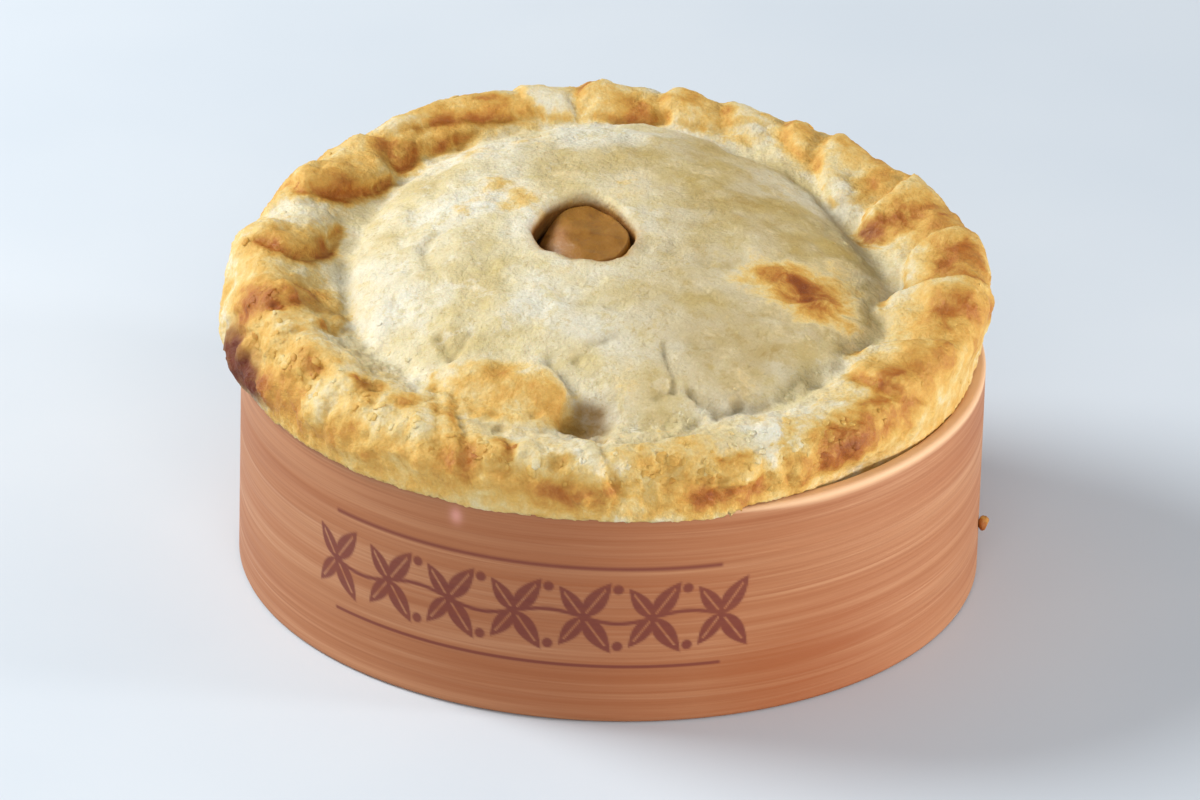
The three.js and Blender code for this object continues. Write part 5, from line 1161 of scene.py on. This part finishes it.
class Nodes:
    """Short names for the shader nodes used here."""

    def __init__(self, name):
        self.mat = bpy.data.materials.new(name)
        self.mat.use_nodes = True
        self.tree = self.mat.node_tree
        self.tree.nodes.clear()
        self.out = self.tree.nodes.new("ShaderNodeOutputMaterial")
        self.bsdf = self.tree.nodes.new("ShaderNodeBsdfPrincipled")
        self.tree.links.new(self.bsdf.outputs[0], self.out.inputs[0])
        self.pos = None

    def put(self, socket, value):
        if isinstance(value, bpy.types.NodeSocket):
            self.tree.links.new(value, socket)
        else:
            socket.default_value = value

    def place(self, scale=(1, 1, 1)):
        if self.pos is None:
            self.pos = self.tree.nodes.new("ShaderNodeTexCoord").outputs["Object"]
        m = self.tree.nodes.new("ShaderNodeMapping")
        m.inputs["Scale"].default_value = scale
        self.tree.links.new(self.pos, m.inputs["Vector"])
        return m.outputs[0]

    def attr(self, name):
        n = self.tree.nodes.new("ShaderNodeAttribute")
        n.attribute_name = name
        return n.outputs["Fac"]

    def noise(self, scale, detail=4.0, rough=0.55, vector=None, distort=0.0):
        """scale is in lumps per metre."""
        n = self.tree.nodes.new("ShaderNodeTexNoise")
        n.inputs["Scale"].default_value = scale
        n.inputs["Detail"].default_value = detail
        n.inputs["Roughness"].default_value = rough
        n.inputs["Distortion"].default_value = distort
        self.tree.links.new(vector if vector is not None else self.place(), n.inputs["Vector"])
        return n.outputs["Fac"]

    def cells(self, scale, vector=None, feature="F1", rand=1.0):
        n = self.tree.nodes.new("ShaderNodeTexVoronoi")
        n.feature = feature
        n.inputs["Scale"].default_value = scale
        n.inputs["Randomness"].default_value = rand
        self.tree.links.new(vector if vector is not None else self.place(), n.inputs["Vector"])
        return n.outputs["Distance"]

    def math(self, op, a, b=0.0, c=None, clamp=False):
        n = self.tree.nodes.new("ShaderNodeMath")
        n.operation = op
        n.use_clamp = clamp
        self.put(n.inputs[0], a)
        self.put(n.inputs[1], b)
        if c is not None:
            self.put(n.inputs[2], c)
        return n.outputs[0]

    def fit(self, v, a, b, c=0.0, d=1.0, smooth=False):
        n = self.tree.nodes.new("ShaderNodeMapRange")
        n.interpolation_type = "SMOOTHSTEP" if smooth else "LINEAR"
        for s_, x in zip(n.inputs, (v, a, b, c, d)):
            self.put(s_, x)
        return n.outputs[0]

    def ramp(self, v, stops, mode="LINEAR"):
        n = self.tree.nodes.new("ShaderNodeValToRGB")
        n.color_ramp.interpolation = mode
        e = n.color_ramp.elements
        while len(e) < len(stops):
            e.new(0.5)
        for el, (pos, col) in zip(e, stops):
            el.position = pos
            el.color = colour(col) if isinstance(col, str) else col
        self.put(n.inputs[0], v)
        return n.outputs[0]

    def mix(self, fac, a, b, mode="MIX"):
        n = self.tree.nodes.new("ShaderNodeMix")
        n.data_type = "RGBA"
        n.blend_type = mode
        self.put(n.inputs[0], fac)
        self.put(n.inputs[6], colour(a) if isinstance(a, str) else a)
        self.put(n.inputs[7], colour(b) if isinstance(b, str) else b)
        return n.outputs[2]

    def bump(self, height, strength, distance, normal=None):
        n = self.tree.nodes.new("ShaderNodeBump")
        n.inputs["Strength"].default_value = strength
        n.inputs["Distance"].default_value = distance
        self.put(n.inputs["Height"], height)
        if normal is not None:
            self.put(n.inputs["Normal"], normal)
        return n.outputs[0]


# pastry
m = Nodes("baked_pastry")
spots_and_shade, gold_, air, crack, vent_a, rim_a, burnt_and_shade, tan_and_shade, hollow = [m.attr(k) for k in ("spots_and_shade", "gold", "air", "crack", "vent", "rim", "burnt_and_shade", "tan_and_shade", "hollow")]
broad = m.noise(70, 3, 0.5)
mid_n = m.noise(230, 4, 0.6, distort=0.6)
small = m.noise(900, 3, 0.6)
grain = m.noise(2600, 2, 0.6)
# browning: place, noise that breaks its edge up, and a little everywhere
b = m.math("MULTIPLY_ADD", spots_and_shade, m.fit(mid_n, 0.3, 0.7, 0.3, 1.4), gold_)
b = m.math("ADD", b, m.fit(mid_n, 0.2, 0.8, -0.16, 0.16))
b = m.math("ADD", b, m.fit(small, 0.25, 0.75, -0.07, 0.07))
b = m.math("ADD", b, m.math("MULTIPLY", vent_a, 0.35))
baked = m.ramp(m.math("MULTIPLY", b, 0.8), [(0.0, "E8DCC0"), (0.10, "E6D4A8"), (0.21, "E2C684"), (0.32, "DCB15E"), (0.43, "CF9B46"), (0.56, "BE8034"), (0.69, "AE661E"), (0.82, "A25A14"), (1.0, "8C440A")])
# the lid's tint: cream with yellow clouds and tan, the tan partly painted shade of the lid's right side
cloud = m.ramp(broad, [(0.32, "E6E4D3"), (0.45, "E5DFC7"), (0.55, "E0D4AC"), (0.67, "D0BE8A")])
cloud = m.mix(m.math("MULTIPLY", tan_and_shade, 0.88, clamp=True), cloud, "B0944A")
flecks = m.fit(m.noise(420, 3, 0.65), 0.56, 0.72, 0.0, 0.5, True)
cloud = m.mix(flecks, cloud, "CDB77C")
mottle = m.noise(250, 4, 0.7, distort=0.3)
cloud = m.mix(m.fit(mottle, 0.52, 0.66, 0.0, 0.55, True), cloud, m.mix(m.math("MULTIPLY", tan_and_shade, 1.0, clamp=True), "DAC98E", "A08034"))
cloud = m.mix(m.fit(mottle, 0.46, 0.34, 0.0, 0.45, True), cloud, m.mix(m.math("MULTIPLY", tan_and_shade, 1.0, clamp=True), "EFEBDA", "C8B478"))
peppered = m.noise(800, 3, 0.7)
cloud = m.mix(m.fit(peppered, 0.60, 0.70, 0.0, 0.45, True), cloud, "B49A58")
lidcol = m.mix(m.fit(b, 0.02, 0.30, 0.0, 1.0, True), cloud, baked)
# painted shade: where the surface is less open, in creases and hollows, the colour is darkened toward olive-brown
shade = m.fit(air, 0.0, 0.75, 0.62, 0.0, True)
col = m.mix(shade, lidcol, m.mix(m.fit(b, 0.1, 0.6, 0.0, 1.0), "94793E", "8A4F1C"))
# painted shade in the cracks
col = m.mix(m.math("MULTIPLY", crack, 0.55, clamp=True), col, "8D7C4E")
col = m.mix(m.math("MULTIPLY", vent_a, 1.1, clamp=True), col, "8E5A20")
# dark red-brown: browning, and in the droop at the left also painted shade
col = m.mix(m.math("MULTIPLY", burnt_and_shade, m.fit(mid_n, 0.3, 0.7, 0.95, 1.15), clamp=True), col, "662204")
# painted shade in the hollows, olive-brown
col = m.mix(m.math("MULTIPLY", hollow, m.fit(mid_n, 0.3, 0.7, 0.7, 1.0), clamp=True), col, "745004")
col = m.mix(m.fit(grain, 0.35, 0.65, 0.0, 0.14), col, "8F713C")
m.put(m.bsdf.inputs["Base Color"], col)
m.put(m.bsdf.inputs["Roughness"], m.fit(b, 0.2, 0.9, 0.72, 0.5))
m.bsdf.inputs["Specular IOR Level"].default_value = 0.35
m.bsdf.inputs["Subsurface Weight"].default_value = 0.12
m.bsdf.inputs["Subsurface Radius"].default_value = (1.0, 0.55, 0.3)
m.bsdf.inputs["Subsurface Scale"].default_value = 0.0018
h1 = m.bump(m.noise(520, 5, 0.62, distort=0.4), 0.55, 0.0009)
h2 = m.bump(m.noise(1900, 4, 0.65), 0.5, 0.0004, h1)
h3 = m.bump(m.cells(1100, feature="F1"), 0.3, 0.0003, h2)
m.put(m.bsdf.inputs["Normal"], h3)
crust.data.materials.append(m.mat)
flakes.data.materials.append(m.mat)
crumb.data.materials.append(m.mat)

# filling
m = Nodes("stewed_apple")
hgt = m.attr("height")
n1 = m.noise(320, 4, 0.55, distort=0.5)
n2 = m.noise(1300, 3, 0.6)
# painted shade: the fruit is darker the lower it lies below the lid
base = m.ramp(m.math("ADD", hgt, m.fit(n1, 0.2, 0.8, -0.3, 0.3)), [(0.30, "42200A"), (0.60, "683D0A"), (0.82, "86560E"), (1.0, "966414")])
base = m.mix(m.fit(n2, 0.4, 0.7, 0.0, 0.25), base, "9C6C22")
base = m.mix(m.math("MULTIPLY", m.attr("strip"), 0.45), base, "A87454")
m.put(m.bsdf.inputs["Base Color"], base)
m.put(m.bsdf.inputs["Roughness"], m.fit(n1, 0.3, 0.7, 0.34, 0.58))
m.bsdf.inputs["Coat Weight"].default_value = 0.06
m.bsdf.inputs["Coat Roughness"].default_value = 0.3
m.bsdf.inputs["Subsurface Weight"].default_value = 0.2
m.bsdf.inputs["Subsurface Radius"].default_value = (1.0, 0.5, 0.2)
m.bsdf.inputs["Subsurface Scale"].default_value = 0.0012
m.put(m.bsdf.inputs["Normal"], m.bump(m.noise(900, 4, 0.6), 0.35, 0.0005))
filling.data.materials.append(m.mat)

# wood
m = Nodes("pale_wood")
ink_a, pale_edge_and_highlight_a, pale_pink_spot, front_shade_a = [m.attr(k) for k in ("ink", "edge", "pale_pink_spot", "mid")]
long_v = m.place((9, 9, 640))
fine_v = m.place((26, 26, 2400))
wide_v = m.place((5, 5, 150))
g1 = m.noise(1.0, 5, 0.6, long_v, 0.8)
g2 = m.noise(1.0, 3, 0.6, fine_v, 0.3)
g3 = m.noise(1.0, 4, 0.5, wide_v, 1.2)
wood = m.ramp(g3, [(0.30, "A66A44"), (0.50, "AF7650"), (0.70, "B8845E")])
wood = m.mix(m.fit(g1, 0.48, 0.68, 0.0, 0.34, True), wood, "96562F")
wood = m.mix(m.fit(g1, 0.50, 0.32, 0.0, 0.30, True), wood, "D2A078")
wood = m.mix(m.fit(g2, 0.46, 0.70, 0.0, 0.40), wood, "8E5230")
# painted shade on the front of the band and low on its right
wood = m.mix(m.math("MULTIPLY", front_shade_a, m.fit(g1, 0.35, 0.65, 0.35, 0.75), clamp=True), wood, "9C5830")
# a small pale pink spot near the top of the band's front
wood = m.mix(m.math("MULTIPLY", pale_pink_spot, 0.8), wood, "D9988A")
# pale top edge of the wood, on the right also a painted highlight
wood = m.mix(m.math("MULTIPLY", pale_edge_and_highlight_a, 0.9), wood, "E9BE94")
ink_f = m.math("MULTIPLY", ink_a, m.fit(g1, 0.3, 0.75, 0.97, 0.74))
wood = m.mix(ink_f, wood, "6E2C22")
m.put(m.bsdf.inputs["Base Color"], wood)
m.put(m.bsdf.inputs["Roughness"], m.fit(g1, 0.3, 0.7, 0.5, 0.66))
m.bsdf.inputs["Specular IOR Level"].default_value = 0.35
m.put(m.bsdf.inputs["Normal"], m.bump(g2, 0.25, 0.00012, m.bump(g1, 0.3, 0.0003)))
case.data.materials.append(m.mat)

# ---------------------------------------------------------------- floor, light and camera
scene = bpy.context.scene
fm = bpy.data.meshes.new("floor")
S = 6.0
fm.from_pydata([(-S, -S, 0), (S, -S, 0), (S, S, 0), (-S, S, 0)], [], [(0, 1, 2, 3)])
floor = bpy.data.objects.new("floor", fm)
scene.collection.objects.link(floor)
floor.location.z = -0.0002
m = Nodes("pale_floor")
m.put(m.bsdf.inputs["Base Color"], m.mix(m.fit(m.noise(9, 3, 0.5), 0.3, 0.7), "CFD9E4", "D8E0E9"))
m.bsdf.inputs["Roughness"].default_value = 0.6
fm.materials.append(m.mat)
floor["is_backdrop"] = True


def lamp(name, place, target, size, watts, tint):
    d = bpy.data.lights.new(name, "AREA")
    d.shape = "DISK"
    d.size = size
    d.energy = watts
    d.color = tint
    o = bpy.data.objects.new(name, d)
    scene.collection.objects.link(o)
    z_axis = np.array(place, float) - np.array(target, float)
    z_axis /= np.linalg.norm(z_axis)
    x_axis = np.cross([0, 0, 1.0], z_axis)
    x_axis /= np.linalg.norm(x_axis)
    y_axis = np.cross(z_axis, x_axis)
    o.matrix_world = Matrix([[x_axis[k], y_axis[k], z_axis[k], place[k]] for k in range(3)] + [[0, 0, 0, 1]])
    o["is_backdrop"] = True
    return o


lamp("key", (-0.80, 0.26, 0.62), (0, 0, 0.04), 0.5, 11.4, (0.99, 0.99, 0.96))
lamp("front", (0.05, -1.0, 0.50), (0, 0, 0.03), 0.8, 5.4, (1.0, 0.97, 0.93))
lamp("side", (0.95, -0.16, 0.12), (0, 0, 0.025), 0.18, 7.0, (1.0, 0.96, 0.92))
world = bpy.data.worlds.new("soft_room")
scene.world = world
world.use_nodes = True
bg = world.node_tree.nodes["Background"]
bg.inputs[0].default_value = (0.93, 0.96, 1.0, 1)
bg.inputs[1].default_value = 0.34
scene.view_settings.view_transform = "Standard"
scene.view_settings.look = "None"

# camera: 1.6 m away, 27 degrees above the table, rolled a little, aimed so that the case sits left of and below the middle
ELEV, DIST, FOCAL, ROLL, AIM_X, AIM_Y = math.radians(27.182), 1600.0, 9829.8, math.radians(-1.638), 608.04, 548.04
C0 = np.array([0, -DIST * math.cos(ELEV), DIST * math.sin(ELEV)])
fwd = -C0 / np.linalg.norm(C0)
right0 = np.array([1.0, 0, 0])
up0 = np.cross(right0, fwd)


def spin(v, k, a_):
    return v * math.cos(a_) + np.cross(k, v) * math.sin(a_) + k * np.dot(k, v) * (1 - math.cos(a_))


right, up = spin(right0, fwd, ROLL), spin(up0, fwd, ROLL)
f2, r2 = spin(fwd, up, math.atan((AIM_X - 600) / FOCAL)), spin(right, up, math.atan((AIM_X - 600) / FOCAL))
f3 = spin(f2, r2, math.atan((AIM_Y - 400) / FOCAL))
u2 = np.cross(r2, f3)
cam = bpy.data.cameras.new("camera")
cam.sensor_width = 36.0
cam.lens = FOCAL * 36.0 / 1200.0
cam.clip_start = 0.05
cam.clip_end = 30.0
camera = bpy.data.objects.new("camera", cam)
camera.matrix_world = Matrix([[r2[k], u2[k], -f3[k], C0[k] / 1000.0] for k in range(3)] + [[0, 0, 0, 1]])
scene.collection.objects.link(camera)
scene.camera = camera

lo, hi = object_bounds()
